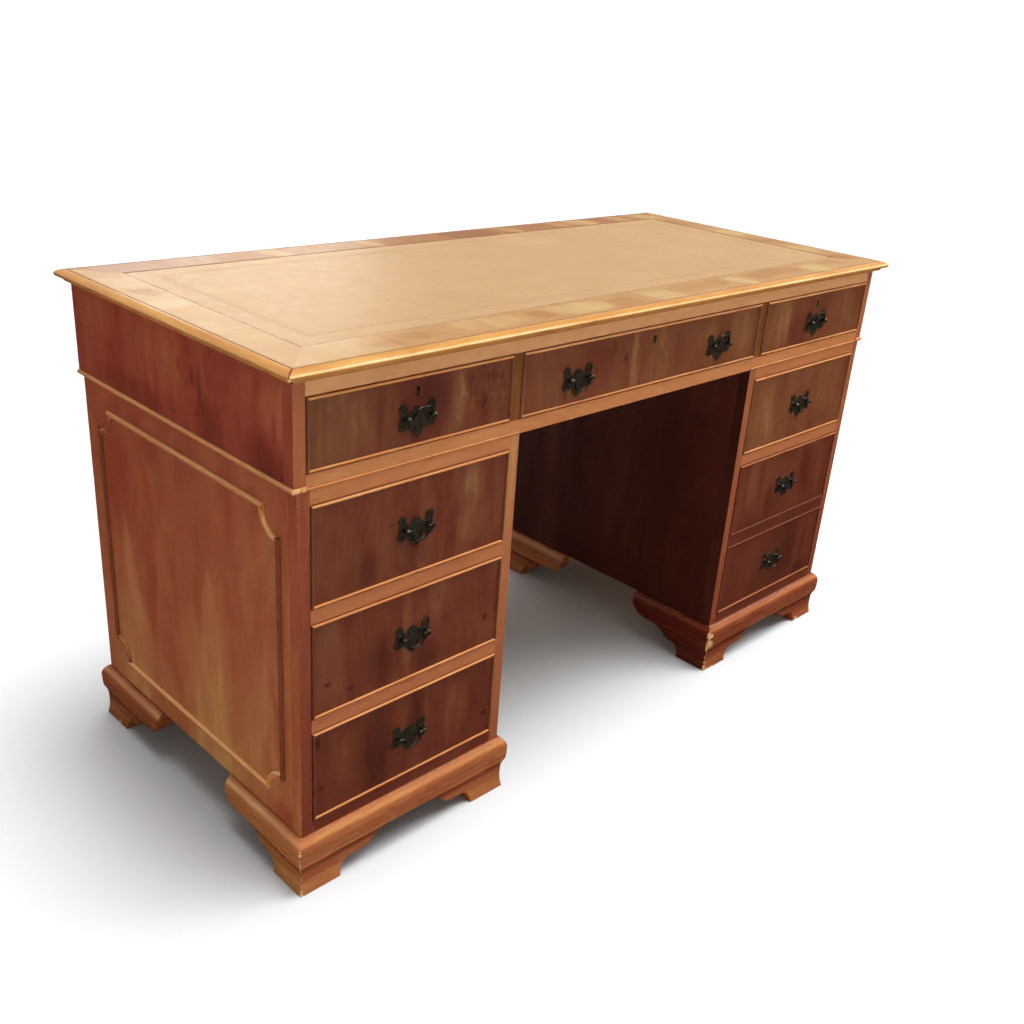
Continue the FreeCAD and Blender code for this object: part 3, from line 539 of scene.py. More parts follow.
def makePiece(name, store, materials, body, nodes=(), crease=35):
    mesh = bpy.data.meshes.new(name)
    mesh.from_pydata(store["points"], [], store["faces"])
    mesh.attributes.new("grain", "FLOAT_VECTOR", "POINT").data.foreach_set("vector", store["grain"])
    for key in ("figure", "curl", "tone", "chip"):
        mesh.attributes.new(key, "FLOAT", "POINT").data.foreach_set("value", store[key])
    mesh.attributes.new("worn", "FLOAT", "FACE").data.foreach_set("value", store["worn"])
    for material in materials:
        mesh.materials.append(material)
    mesh.polygons.foreach_set("material_index", store["finish"])
    smoothShade(mesh, crease)
    mesh.update()
    settle(name, mesh, body, nodes)


def settle(name, mesh, body, nodes=()):
    piece = bpy.data.objects.new(name, mesh)
    scene.collection.objects.link(piece)
    even = piece.modifiers.new("evenNormals", "WEIGHTED_NORMAL")
    even.keep_sharp = True
    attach(piece, body)
    if nodes:
        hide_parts(*nodes)


def showFaces(bm, axis, side):
    low, high = boxOf(bm)
    edge = high[axis] if side > 0 else low[axis]
    return [f for f in bm.faces if abs(f.normal[axis]) > showFlat
            and abs(f.calc_center_median()[axis] - edge) < showNear * mm]


# the veneer of the sides and of the kneehole runs on over the edges of the front stiles, with its own tone
# and figure, and the joint behind them isn't worn; on the pedestal stiles the kneehole edge takes the
# darkened veneer, painted shade; stiles further out than this (m) are at the desk's ends
stileLook = dict(outer=0.6, faces=0.9)


def edgeVeneer(bm, middle, veneers):
    outermost = abs(middle[0]) > stileLook["outer"]
    way = math.copysign(1, middle[0]) * (1 if outermost else -1)
    layer = bm.faces.layers.float["worn"]
    for face in bm.faces:
        face[layer] *= face.calc_center_median()[1] < middle[1]
    return {f: veneers[0 if outermost else 1] for f in bm.faces if f.normal[0] * way > stileLook["faces"]}


# the last cloud, dark above the front foot, is painted shade
sideFigure = figureFrom(
    slope=[(0, 350, 230, 260, -0.3)], leaf=[(-55, 0, 1, 1, 0.12)],
    flame=[(188, 60, 66, 360, 0.34), (-60, 60, 84, 365, 0.34), (-200, 40, 50, 300, 0.12)],
    cloud=[(207, 462, 60, 100, -0.3), (89, 556, 24, 30, -0.3), (30, 560, 20, 50, 0.16),
           (-180, 500, 60, 120, 0.1), (110, 330, 26, 120, -0.26), (-235, 220, 30, 130, -0.1),
           (-240, 106, 54, 26, -0.5)])
endFigure = figureFrom(
    cloud=[(63, 712, 30, 48, 0.3), (0, 722, 26, 55, 0.26), (30, 690, 70, 60, 0.12), (110, 640, 130, 24, -0.3),
           (-231, 642, 55, 42, -0.4), (-250, 700, 40, 60, 0.25), (-90, 648, 46, 36, -0.34),
           (58, 693, 4, 16, -0.5), (-18, 710, 4, 10, -0.6), (-54, 706, 4, 14, -0.6), (-73, 690, 6, 30, -0.4),
           (-247, 690, 5, 22, -0.4), (209, 722, 60, 30, 0.12), (-181, 707, 42, 40, 0.2),
           (-264, 712, 36, 50, 0.2)],
    leaf=[(-74, 0, 1, 1, -0.06)])
kneeFigure = figureFrom(
    slope=[(0, 350, 230, 260, 0.1)], flame=[(-170, 120, 30, 420, 0.4), (40, 100, 60, 330, 0.2)],
    cloud=[(160, 420, 70, 160, -0.3), (-80, 380, 24, 200, -0.25)])
backFigure = figureFrom(
    flame=[(-480, 60, 70, 420, 0.3), (-380, 60, 40, 300, 0.2), (430, 60, 80, 460, 0.3),
           (560, 60, 40, 320, 0.2)],
    cloud=[(500, 480, 60, 120, -0.3), (-560, 440, 60, 140, -0.3)])
stileFigure = figureFrom(slope=[(0, 350, 1, 240, 0.35)])
friezeStileEdge = figureFrom(band=[(0, 690, 1, 400, -0.5)], slope=[(0, 690, 1, 60, 0.1)])
# the far sides have their leaves the other way round, a little smaller
farSide = dict(across=-0.93, shift=14, tall=0.94)

# bare patches, in mm: where they are and how far they reach. Those of a foot follow its corner: the place of
# the corner, how far its ogee stands out at some heights, then how far along, how high and how wide each is
carcassFront = -282.5
footOut = {84: 10.9, 79: 11.8, 69: 12.6, 62: 12.4, 56: 11.7, 50: 9.2, 44: 7.6, 28: 6.4, 17: 6.5, 8: 7.6,
           1: 9.1}


def footChips(cornerX, rows):
    return [((cornerX - footOut[z] + along, carcassFront - footOut[z], z), reach) for along, z, reach in rows]


railChips = [((-180, carcassFront, 617), 4), ((54, carcassFront, 617), 3.5), ((-60, carcassFront, 616.8), 3)]
plinthChips = [
    *footChips(288, [(0, 84, 7), (0, 79, 8), (0, 69, 6), (0, 62, 9), (0, 56, 8), (0, 50, 7), (0, 44, 4),
                     (0, 28, 4), (0, 17, 4), (0, 8, 6), (0, 1, 8), (9, 79, 7), (7, 69, 4), (9, 62, 7),
                     (14, 62, 5), (9, 56, 5), (11, 50, 5), (18, 50, 4), (9, 1, 6), (18, 1, 5), (27, 1, 4)]),
    *footChips(-663, [(0, 84, 2.5), (0, 79, 4), (0, 69, 2.5), (0, 62, 3), (0, 56, 2.5), (0, 50, 3),
                      (0, 44, 3), (0, 28, 3.5), (0, 17, 2.5), (0, 8, 3.5), (0, 1, 7)]),
    ((616, -291.5, 3), 7), ((-672, 250, 2), 6)]
beadChips = [((-664, -286, 622), 6), ((-671, -285, 620), 6), ((-655, -286, 620), 4), ((670, -285, 620), 5)]
topChips = [((-686, -303, 764), 7), ((686, -303, 764), 5), ((-686, 40, 761), 4), ((-686, 215, 762), 5)]

# boards and panels of the carcass: materials and which board takes which (the first, if not said),
# grain axis (the longest way of the board, if not said), eased edge and the least length eased in mm,
# show axis with its side ("out" is away from the middle of the desk) and its squares in mm, the plane of
# the figure, tone of each board or how far it may stray, materials on the outer and the kneehole edges,
# and how far behind a jointed front edge nothing is worn, in mm
boardBase = dict(least=12, figure=(), plane=(0, 2), chips=(), edgeMarks=(), spread=0.3)
railBoard = dict(slot="yew_rails", ease=0.5)
veneered = dict(slot="yew_veneer", woods=["yewPanelVeneer"], grain=2, ease=0.6, step=6.0, show=(1, "out"))
sideBoard = dict(veneered, ease=0.5, show=(0, "out"), plane=(1, 2), jointed=2)
softwood = dict(slot="inner_softwood", woods=["pineCarcass"], ease=0.4)
boardLook = {
    # the lock mortises' short edges stay sharp; the first rail's high tone lightens the top rail against the
    # shade under the top's overhang, painted light
    "frieze_front_rails": dict(railBoard, woods=["yewRail"], least=25, tones=(2.2, 1.0), chips=railChips),
    "frieze_front_stiles": dict(railBoard, woods=["yewRail", "yewMoulding", "yewPanelVeneer"],
                                picks=(0, 1, 0, 1), tones=(-0.3, -1.9, -0.3, -1.8), edges=(2, 1),
                                edgeMarks=friezeStileEdge),
    "pedestal_rails": dict(railBoard, woods=["yewRail", "yewDrawerVeneer"], picks=(0, 1, 0, 1, 0, 0, 0),
                           tones=(0.6, 0.0, 0.3, 0.0, 0.2, 0.0, 0.2)),
    "pedestal_stiles": dict(railBoard, woods=["yewStile", "yewPanelVeneer", "yewShadedVeneer"],
                            figure=stileFigure, tones=(-0.4, 1.2, 0.5, 0.5), edges=(1, 2),
                            edgeMarks=sideFigure[:1]),
    "frieze_end_panels": dict(sideBoard, step=4.0, tones=(-0.9, -0.8), figure=endFigure),
    "pedestal_outer_sides": dict(sideBoard, step=4.5, tones=(0.0, 0.1), figure=sideFigure),
    # the kneehole sides take the darkened veneer: painted shade
    "pedestal_inner_sides": dict(sideBoard, woods=["yewShadedVeneer"], show=(0, "in"), figure=kneeFigure),
    "frieze_back_panel": dict(veneered, grain=0),
    "pedestal_backs": dict(veneered, figure=backFigure),
    "top_board": dict(softwood, ease=0.6),
    "frieze_partitions": dict(softwood, grain=1),
    "frieze_dust_boards": dict(softwood, grain=0),
    "pedestal_tops_and_bottoms": dict(softwood, grain=0),
    "pedestal_drawer_runners": softwood,
    "foot_corner_blocks": dict(softwood, grain=2, ease=0.8),
    "locating_dowels": dict(softwood, woods=["beechLining"], grain=2, ease=0.0),
}
for node, look in boardLook.items():
    look = {**boardBase, **look}
    store = newStore()
    for i, bm in enumerate(solidsOf(node)):
        low, high = boxOf(bm)
        size, middle = high - low, (low + high) / 2
        marks = look["figure"]
        easeEdges(bm, look["ease"] * mm, look["least"] * mm)
        if "jointed" in look:
            layer = bm.faces.layers.float["worn"]
            for face in bm.faces:
                face[layer] *= face.calc_center_median()[1] > low[1] + look["jointed"] * mm
        if "show" in look:
            axis, way = look["show"]
            side = 1 if (middle[axis] > 0) == (way == "out") else -1
            squareUp(bm, showFaces(bm, axis, side), [a for a in range(3) if a != axis], look["step"] * mm)
            if axis == 0 and middle[0] > 0:
                marks = [(kind, u * farSide["across"] + farSide["shift"], v, halfU, halfV * farSide["tall"],
                          amount) for kind, u, v, halfU, halfV, amount in marks]
        nick(bm, look["chips"])
        tone = look["tones"][i] if "tones" in look else dice.uniform(-look["spread"], look["spread"])
        edged = edgeVeneer(bm, middle, look["edges"]) if "edges" in look else None
        gather(store, bm, look.get("grain", longestWay(size)), tone=tone,
               finish=look["picks"][i] if "picks" in look else 0, marks=marks, plane=look["plane"],
               chips=look["chips"], finishOf=edged, edgeMarks=look["edgeMarks"])
    makePiece(pieceName(node), store, [woods[name] for name in look["woods"]], bodyOf[node],
              [node])
print("carcass boards:", len(boardLook))

# drawer fronts: tone and figure of the veneered board, and its bead slips' tone where it differs
drawerFigure = {
    "frieze_left_drawer": dict(tone=0.45, marks=figureFrom(
        cloud=[(-600, 690, 58, 70, 0.28), (-470, 690, 46, 70, -0.34), (-440, 702, 30, 46, -0.3),
               (-406, 690, 15, 44, 0.4), (-350, 692, 46, 60, -0.1), (-538, 687, 9, 34, -0.3),
               (-350, 712, 12, 8, -0.3), (-366, 676, 9, 12, -0.3)],
        curl=[(-362, 700, 50, 46, 1.0)])),
    "frieze_centre_drawer": dict(tone=0.65, marks=figureFrom(
        cloud=[(-258, 702, 30, 60, 0.12), (-125, 705, 60, 60, -0.25), (-42, 686, 14, 60, 0.42),
               (20, 676, 25, 60, 0.18), (62, 700, 10, 50, -0.2), (92, 694, 20, 60, 0.12),
               (150, 680, 30, 50, 0.2), (243, 693, 40, 60, 0.28), (-67, 694, 5, 8, -0.7)])),
    "frieze_right_drawer": dict(tone=0.6, marks=figureFrom(
        cloud=[(349, 688, 36, 65, 0.42), (385, 701, 14, 60, 0.25), (430, 659, 36, 46, -0.32),
               (589, 675, 62, 70, 0.2), (500, 700, 20, 50, -0.1)])),
    "left_upper_drawer": dict(tone=0.25, marks=figureFrom(
        cloud=[(-375, 564, 22, 44, 0.42), (-374, 500, 30, 34, 0.34), (-556, 481, 18, 36, -0.45),
               (-481, 505, 12, 70, -0.2), (-404, 509, 10, 46, -0.22), (-610, 540, 20, 80, 0.12)])),
    "left_middle_drawer": dict(tone=0.1, marks=figureFrom(
        cloud=[(-484, 360, 10, 95, 0.34), (-524, 327, 28, 50, -0.4), (-445, 312, 22, 34, -0.4),
               (-605, 363, 40, 70, 0.2), (-428, 395, 25, 34, 0.24), (-616, 329, 5, 4, -1.0),
               (-580, 309, 6, 4, -0.9), (-334, 334, 5, 5, -0.8), (-360, 370, 14, 70, 0.16)])),
    "left_lower_drawer": dict(tone=-0.2, marks=figureFrom(
        cloud=[(-535, 181, 32, 80, -0.42), (-491, 197, 11, 95, 0.34), (-462, 215, 14, 46, -0.4),
               (-385, 190, 30, 65, 0.36), (-633, 241, 6, 10, -0.8), (-627, 165, 7, 5, -0.7),
               (-323, 158, 6, 6, -0.8), (-590, 200, 16, 80, 0.16)])),
    "right_upper_drawer": dict(tone=0.75, marks=figureFrom(
        cloud=[(357, 499, 42, 95, 0.32), (416, 573, 12, 46, -0.2), (563, 548, 50, 60, 0.16),
               (536, 443, 14, 46, -0.2), (470, 500, 14, 90, -0.1)])),
    "right_file_drawer": dict(tone=-0.2, bead=-1.6, marks=figureFrom(
        cloud=[(360, 376, 30, 70, 0.3), (552, 366, 40, 50, -0.3), (426, 319, 15, 46, -0.35),
               (376, 155, 36, 70, 0.15), (528, 204, 52, 70, -0.3), (600, 114, 42, 36, -0.3),
               (480, 380, 20, 60, 0.16)],
        slope=[(0, 270, 1, 150, 0.16)])),
}
# the upper slips' tone is lifted against the shade of the rail above them, and the facing light paints each
# slip lighter on its lit side and darker on the other: painted highlight and painted shade
frontLook = dict(step=3.0, sideTone=0.4, beadTone=-0.4, upperTone=0.6, crest=0.65, spread=0.3)
boxLook = dict(ease=0.5, least=40, spread=0.5)
for drawer, look in drawerFigure.items():
    node = drawer + "_front"
    store = newStore()
    for i, bm in enumerate(solidsOf(node)):
        low, high = boxOf(bm)
        size, middle = high - low, (low + high) / 2
        easeEdges(bm, 0, 0)
        if i == 0:
            boardMiddle = middle
            squareUp(bm, showFaces(bm, 1, -1), (0, 2), frontLook["step"] * mm)
            gather(store, bm, 2, tone=look["tone"], marks=look["marks"])
        elif size[2] > size[0]:  # the side slips are nearly as dark as the board
            gather(store, bm, 2, tone=look["tone"] + frontLook["sideTone"])
        else:  # painted light: the lower slip is lighter on its top and darker beneath, the upper one lighter on its nose and darker on top, and its tone lifted against the rail's shade
            under = middle[2] < boardMiddle[2]
            tone = frontLook["beadTone"] + look.get("bead", 0.0) + (0.0 if under else frontLook["upperTone"])
            tone += dice.uniform(-frontLook["spread"], frontLook["spread"])
            gather(store, bm, 0, finish=1, tone=tone,
                   crest=frontLook["crest"] if under else -frontLook["crest"])
    makePiece(pieceName(node), store, [woods["yewDrawerVeneer"], woods["yewBead"]], bodyOf[node],
              [node])
    node = drawer + "_box"
    store = newStore()
    for bm in solidsOf(node):
        low, high = boxOf(bm)
        easeEdges(bm, boxLook["ease"] * mm, boxLook["least"] * mm)
        tone = dice.uniform(-boxLook["spread"], boxLook["spread"])
        gather(store, bm, longestWay(high - low, (0, 1)), tone=tone)
    makePiece(pieceName(node), store, [woods["beechLining"]], bodyOf[node], [node])
print("drawers:", len(drawerFigure))

# painted shade in the hollow of the ogee, painted highlights along the arrises above and below it, and
# lighter towards the toe
footPaintedShading = figureFrom(
    band=[(0, 44, 1, 9, -0.55), (0, 54, 1, 4, 0.5), (0, 90, 1, 6, 0.7), (0, 12, 1, 18, 0.4)])
# the four mitres of the top, in mm: line across the corner, full and fading half width, depth, and the cuts
# beside it that carry the dark seam
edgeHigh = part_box("top_edge_moulding")[1] / mm
mitreLook = dict(full=0.3, faded=1.4, depth=-1.8, cuts=(-1.8, -0.8, 0.8, 1.8))
mitreSeam = figureFrom(mitre=[(edgeHigh[0] - edgeHigh[1], 0, mitreLook["full"], mitreLook["faded"],
                               mitreLook["depth"])])
# a painted highlight along the nose of the front one: height and half width in mm, light, and its cuts
paintedHighlightLook = dict(height=769.8, half=2.0, light=0.95, cuts=(-2, -1, 0, 1, 2))
paintedHighlightLine = figureFrom(band=[(0, paintedHighlightLook["height"], 1, paintedHighlightLook["half"], paintedHighlightLook["light"])])

# shaped and moulded members: each solid's grain follows its length. The second tone is for the upright or
# the front ones; slender is how much taller than deep an upright is
mouldBase = dict(ease=0.0, least=6, crest=0.0, chips=(), lines=(), second=None, slender=1.5, spread=0.1)
footBoard = dict(slot="yew_rails", wood="yewPlinth", ease=0.6, lines=footPaintedShading, chips=plinthChips)
mouldLook = {
    "plinth_fronts_and_backs": dict(footBoard, tones=(0.1, 0.0, -0.9, 0.0)),
    # the third and seventh feet face the kneehole and are darkened: painted shade
    "side_bracket_feet": dict(footBoard, tones=(0.7, -0.1, -1.2, 0.0, 0.3, -0.2, -2.8, 0.0)),
    # painted light: the level runs of the side panel mouldings are lighter, as if lit from above, and the
    # uprights darker, painted shade
    "side_panel_mouldings": dict(slot="yew_mouldings", wood="yewBead", crest=0.5, tone=1.6, second="upright",
                                 secondTone=-1.9, backTone=-0.4),
    # painted light: the waist bead's runs along the desk's ends are lightened against the shade there
    "waist_bead": dict(slot="yew_mouldings", wood="yewBead", crest=0.4, tone=1.5, second="front",
                       secondTone=0.7, chips=beadChips),
    "top_edge_moulding": dict(slot="yew_mouldings", wood="yewMoulding", ease=0.25, crest=0.2, tone=0.1,
                              chips=topChips),
}
for node, look in mouldLook.items():
    look = {**mouldBase, **look}
    store = newStore()
    for i, bm in enumerate(solidsOf(node)):
        low, high = boxOf(bm)
        size = high - low
        upright = look["second"] == "upright" and size[2] > size[1] * look["slender"]
        second = upright or look["second"] == "front" and size[0] > size[1]
        tone = look["tones"][i] if "tones" in look else look["secondTone"] if second else look["tone"]
        if "backTone" in look and low[1] > 0 and not second:  # painted shade: the hollow corners at the back are darker
            tone = look["backTone"]
        easeEdges(bm, look["ease"] * mm, look["least"] * mm)
        nick(bm, look["chips"])
        marks, lines = (), look["lines"]
        if node == "top_edge_moulding":
            marks = mitreSeam
            for x, y in ((1, 1), (1, -1), (-1, 1), (-1, -1)):
                way = Vector((x, -y, 0)).normalized()
                for off in mitreLook["cuts"]:
                    cutAt(bm, Vector((x * edgeHigh[0], y * edgeHigh[1], 0)) * mm + way * off * mm, way)
            if size[0] > size[1] and low[1] < 0:
                lines = paintedHighlightLine
                for off in paintedHighlightLook["cuts"]:
                    cutAt(bm, onAxis(2, (paintedHighlightLook["height"] + off) * mm), onAxis(2))
        tone += dice.uniform(-look["spread"], look["spread"])
        gather(store, bm, longestWay(size), tone=tone, marks=marks, plane=(0, 1), chips=look["chips"],
               lines=lines, crest=0.0 if upright else look["crest"])
    makePiece(pieceName(node), store, [woods[look["wood"]]], bodyOf[node], [node])
print("mouldings:", len(mouldLook))

# cross-banding: short leaves laid side by side with the grain across the band, their outer edge
# held back for the dark line; sizes in mm
bandLook = dict(leaf=165.0, ease=0.15, least=4, step=5.0, line=1.5, lineDrop=0.12, nearEdge=0.01, spread=0.3,
                backTone=-1.6)
bandFigure = figureFrom(
    patch=[(-515, -266, 26, 14, -0.28), (-462, -252, 24, 18, -0.3), (-228, -254, 24, 20, -0.34),
           (-150, -256, 66, 26, 0.4), (-330, -250, 60, 26, 0.25), (-60, -262, 30, 24, -0.25),
           (40, -262, 30, 26, 0.35), (145, -250, 84, 24, -0.26), (250, -262, 22, 28, 0.5),
           (370, -250, 90, 22, -0.35), (480, -262, 24, 28, 0.4), (560, -246, 30, 18, -0.35),
           (-641, 111, 20, 24, -0.45), (-646, 240, 26, 34, -0.14), (-640, 20, 24, 40, 0.12),
           (-642, -120, 24, 60, 0.12), (640, 150, 26, 54, -0.3), (644, 40, 24, 30, 0.4),
           (640, -50, 26, 44, -0.35), (636, -140, 24, 30, 0.35), (632, -226, 22, 24, -0.4),
           (-335, 260, 20, 34, 0.6), (-136, 260, 14, 34, 0.6), (205, 262, 18, 34, 0.5),
           (350, 262, 20, 34, 0.5), (410, 262, 36, 34, 0.8), (530, 262, 20, 30, 0.5),
           (100, 262, 70, 34, -0.3), (-570, 262, 60, 34, -0.2), (610, 262, 26, 30, 0.6)])
lineSides = ((0, 1, 3, 2), (4, 6, 7, 5), (0, 4, 5, 1), (2, 3, 7, 6), (1, 5, 7, 3), (0, 2, 6, 4))
store = newStore()
lineStore = newStore()
for strip in solidsOf("top_crossbanding"):
    low, high = boxOf(strip)
    size = high - low
    run = longestWay(size, (0, 1))
    out = 1 if (low + high)[1 - run] > 0 else -1
    edge = max(out * low[1 - run], out * high[1 - run])  # the band's outer edge
    line = bmesh.new()
    line.faces.layers.float.new("worn")
    corners = []
    for inset in (0.0, bandLook["line"] * mm):
        for end in (-1, 1):
            for z in (low[2], high[2] - bandLook["lineDrop"] * mm):
                spot = onAxis(2, z)
                spot[run], spot[1 - run] = end * (high[run] - inset), out * (edge - inset)
                corners.append(line.verts.new(spot))
    for face in lineSides:
        line.faces.new([corners[k] for k in face])
    bmesh.ops.recalc_face_normals(line, faces=line.faces)
    gather(lineStore, line, run)
    for v in strip.verts:
        for axis in (0, 1):
            limit = high[run] if axis == run else edge
            if abs(v.co[axis]) > limit - bandLook["nearEdge"] * mm:
                v.co[axis] -= math.copysign(bandLook["line"] * mm, v.co[axis])
    count = round(size[run] / (bandLook["leaf"] * mm))
    for k in range(count):
        leaf = strip.copy()
        for share, way in ((k, -1), (k + 1, 1)):
            if share in (0, count):
                continue
            spot = onAxis(run, low[run] + size[run] * share / count)
            cut = cutAt(leaf, spot, onAxis(run, way), clear_outer=True)
            rim = [e for e in cut["geom_cut"] if isinstance(e, bmesh.types.BMEdge)]
            bmesh.ops.edgeloop_fill(leaf, edges=rim)
        bmesh.ops.recalc_face_normals(leaf, faces=leaf.faces)
        easeEdges(leaf, bandLook["ease"] * mm, bandLook["least"] * mm)
        squareUp(leaf, showFaces(leaf, 2, 1), (0, 1), bandLook["step"] * mm)
        atBack = run == 0 and out > 0
        tone = dice.uniform(-1, 1) * bandLook["spread"] + (bandLook["backTone"] if atBack else 0.0)
        gather(store, leaf, 1 - run, tone=tone, marks=bandFigure, plane=(0, 1))
    strip.free()
makePiece("topCrossbanding", store, [woods["yewCrossband"]], "carcass", ["top_crossbanding"])
makePiece("crossbandLine", lineStore, [woods["ebonisedLine"]], "carcass")
print("cross-banding laid")

# brassware: the CAD shapes are merged and smoothed; plates stay dark, what the hand meets is rubbed.
# A pull is five solids, its plate first, and a lock adds its case and its keyhole lining
brassLook = dict(pull=5, lock=2, crease=40, finishes=["antiquedBrass", "handledBrass", "dullBrass"])
lockCases = {}
for node in frame["nodes"]:
    if bodyOf[node] != "carcass" and ("brass" in node or "bail" in node or "bolt" in node):
        store = newStore()
        solids = solidsOf(node)
        locked = "brass" in node and len(solids) % brassLook["pull"] == brassLook["lock"]
        lockFrom = len(solids) - brassLook["lock"] if locked else len(solids)
        for i, bm in enumerate(solids):
            easeEdges(bm, 0, 0)
            if i == lockFrom:
                lockCases[node] = boxOf(bm)
            plate = "brass" in node and i < lockFrom and i % brassLook["pull"] == 0
            gather(store, bm, 0, finish=2 if i >= lockFrom or "bolt" in node else 0 if plate else 1)
        makePiece(pieceName(node), store, [brasses[name] for name in brassLook["finishes"]], bodyOf[node],
                  [node], crease=brassLook["crease"])
print("brassware:", len(lockCases), "locks")

# leather skiver let into the top: edges rolled down, border and cross lines pressed in, mm; a faint wave
# with its waves per mm, the sheet of the noise and how far it lies below the bands
leatherLook = dict(step=11.0, border=35.0, gap=6.4, cross=348.0, line=1.5, deep=0.3, pressed=(0.5, 0.1),
                   lineCuts=(-0.5, -0.25, 0, 0.25, 0.5), roll=1.8, rollDrop=0.5,
                   rollCuts=(0.12, 0.3, 0.6, 1.0), wave=0.07, waves=0.02, sheet=4.2, below=0.6, rim=16.0,
                   crease=60)
bm = solidsOf("leather_writing_surface")[0]
low, high = (corner / mm for corner in boxOf(bm))
bm.free()


def leatherPlaces(start, end, lines):
    places = {start, end}
    for share in leatherLook["rollCuts"]:
        places |= {start + share * leatherLook["roll"], end - share * leatherLook["roll"]}
    for line in lines:
        places |= {line + share * leatherLook["line"] for share in leatherLook["lineCuts"]}
    places = sorted(places)
    filled = []
    for a, b in zip(places, places[1:]):
        count = max(1, round((b - a) / leatherLook["step"]))
        filled += [a + (b - a) * k / count for k in range(count)]
    return filled + [end]


insets = (leatherLook["border"], leatherLook["border"] + leatherLook["gap"])
xLines, yLines = [[low[axis] + d for d in insets] + [high[axis] - d for d in insets] for axis in (0, 1)]
xPlaces = leatherPlaces(low[0], high[0], xLines + [-leatherLook["cross"], leatherLook["cross"]])
yPlaces = leatherPlaces(low[1], high[1], yLines)
points, tool, rim = [], [], []
for y in yPlaces:
    for x in xPlaces:
        edge = min(x - low[0], high[0] - x, y - low[1], high[1] - y)
        off = min(abs(edge - d) for d in insets)
        if edge > insets[1]:
            off = min(off, abs(abs(x) - leatherLook["cross"]))
        pressed = fade(*leatherLook["pressed"], off / leatherLook["line"])
        wave = swayAt(x, y, 1, leatherLook["waves"], leatherLook["waves"], leatherLook["sheet"])
        z = high[2] - leatherLook["rollDrop"] * (1 - fade(0, leatherLook["roll"], edge))
        z += leatherLook["wave"] * (wave - leatherLook["below"]) - leatherLook["deep"] * pressed
        points.append((x * mm, y * mm, z * mm))
        tool.append(pressed)
        rim.append(fade(leatherLook["rim"], 0, edge))
wide, last = len(xPlaces), len(yPlaces) - 1
faces = [(j * wide + i, j * wide + i + 1, (j + 1) * wide + i + 1, (j + 1) * wide + i)
         for j in range(last) for i in range(wide - 1)]
# the rim goes once round, and from it the sides go down to a flat back
ring = list(range(wide)) + [j * wide + wide - 1 for j in range(1, last + 1)]
ring += [last * wide + i for i in range(wide - 2, -1, -1)] + [j * wide for j in range(last - 1, 0, -1)]
base = len(points)
points += [(points[i][0], points[i][1], low[2] * mm) for i in ring]
tool += [0.0] * len(ring)
rim += [1.0] * len(ring)
for k in range(len(ring)):
    after = (k + 1) % len(ring)
    faces.append((ring[k], base + k, base + after, ring[after]))
faces.append(tuple(range(base + len(ring) - 1, base - 1, -1)))
mesh = bpy.data.meshes.new("leatherSkiver")
mesh.from_pydata(points, [], faces)
mesh.attributes.new("tool", "FLOAT", "POINT").data.foreach_set("value", tool)
mesh.attributes.new("rim", "FLOAT", "POINT").data.foreach_set("value", rim)
mesh.materials.append(leathers["leatherSkiver"])
smoothShade(mesh, leatherLook["crease"])
settle("leatherSkiver", mesh, "carcass", ["leather_writing_surface"])
print("leather:", len(faces), "faces")


# a node tree that sets copies of one small shape along the edges of a path
def pathTree(name, sizes):
    tree = bpy.data.node_groups.new(name, "GeometryNodeTree")
    tree.interface.new_socket("Geometry", in_out="INPUT", socket_type="NodeSocketGeometry")
    for label, value in sizes.items():
        tree.interface.new_socket(label, in_out="INPUT", socket_type="NodeSocketFloat").default_value = value
    tree.interface.new_socket("Geometry", in_out="OUTPUT", socket_type="NodeSocketGeometry")
    given = put(tree, "NodeGroupInput").node.outputs
    path = put(tree, "GeometryNodeMeshToCurve", [given["Geometry"]])
    spots = put(tree, "GeometryNodeCurveToPoints", {"Curve": path, "Length": given["Spacing"]}, mode="LENGTH")
    return tree, given, spots


def closeTree(tree, spots, shape, rotation, material):
    placed = put(tree, "GeometryNodeInstanceOnPoints",
                 {"Points": spots, "Instance": shape, "Rotation": rotation})
    placed = put(tree, "GeometryNodeRealizeInstances", [placed])
    placed = put(tree, "GeometryNodeSetMaterial", {"Geometry": placed, "Material": material})
    put(tree, "NodeGroupOutput", [placed])


# points and edges of the path in mm
def growAlong(name, tree, sizes, points, edges, body, crease=40):
    path = bpy.data.meshes.new(name + "Path")
    path.from_pydata([[c * mm for c in p] for p in points], edges, [])
    holder = bpy.data.objects.new(name + "Path", path)
    scene.collection.objects.link(holder)
    growth = holder.modifiers.new("growth", "NODES")
    growth.node_group = tree
    for item in tree.interface.items_tree:
        if item.in_out == "INPUT" and item.name in sizes:
            growth[item.identifier] = float(sizes[item.name])
    grown = bpy.data.meshes.new_from_object(holder.evaluated_get(bpy.context.evaluated_depsgraph_get()))
    grown.name = name
    holder.modifiers.remove(growth)
    bpy.data.objects.remove(holder)
    smoothShade(grown, crease)
    settle(name, grown, body)
    return len(grown.polygons)


# corners of a box's face, held in from its sides, and the edges of the loop through them
def cornersIn(low, high, inset, a, b):
    left, right, lower, upper = low[a] + inset, high[a] - inset, low[b] + inset, high[b] - inset
    return [(left, lower), (right, lower), (right, upper), (left, upper)]


def loopFrom(first):
    return [(first + k, first + (k + 1) % 4) for k in range(4)]


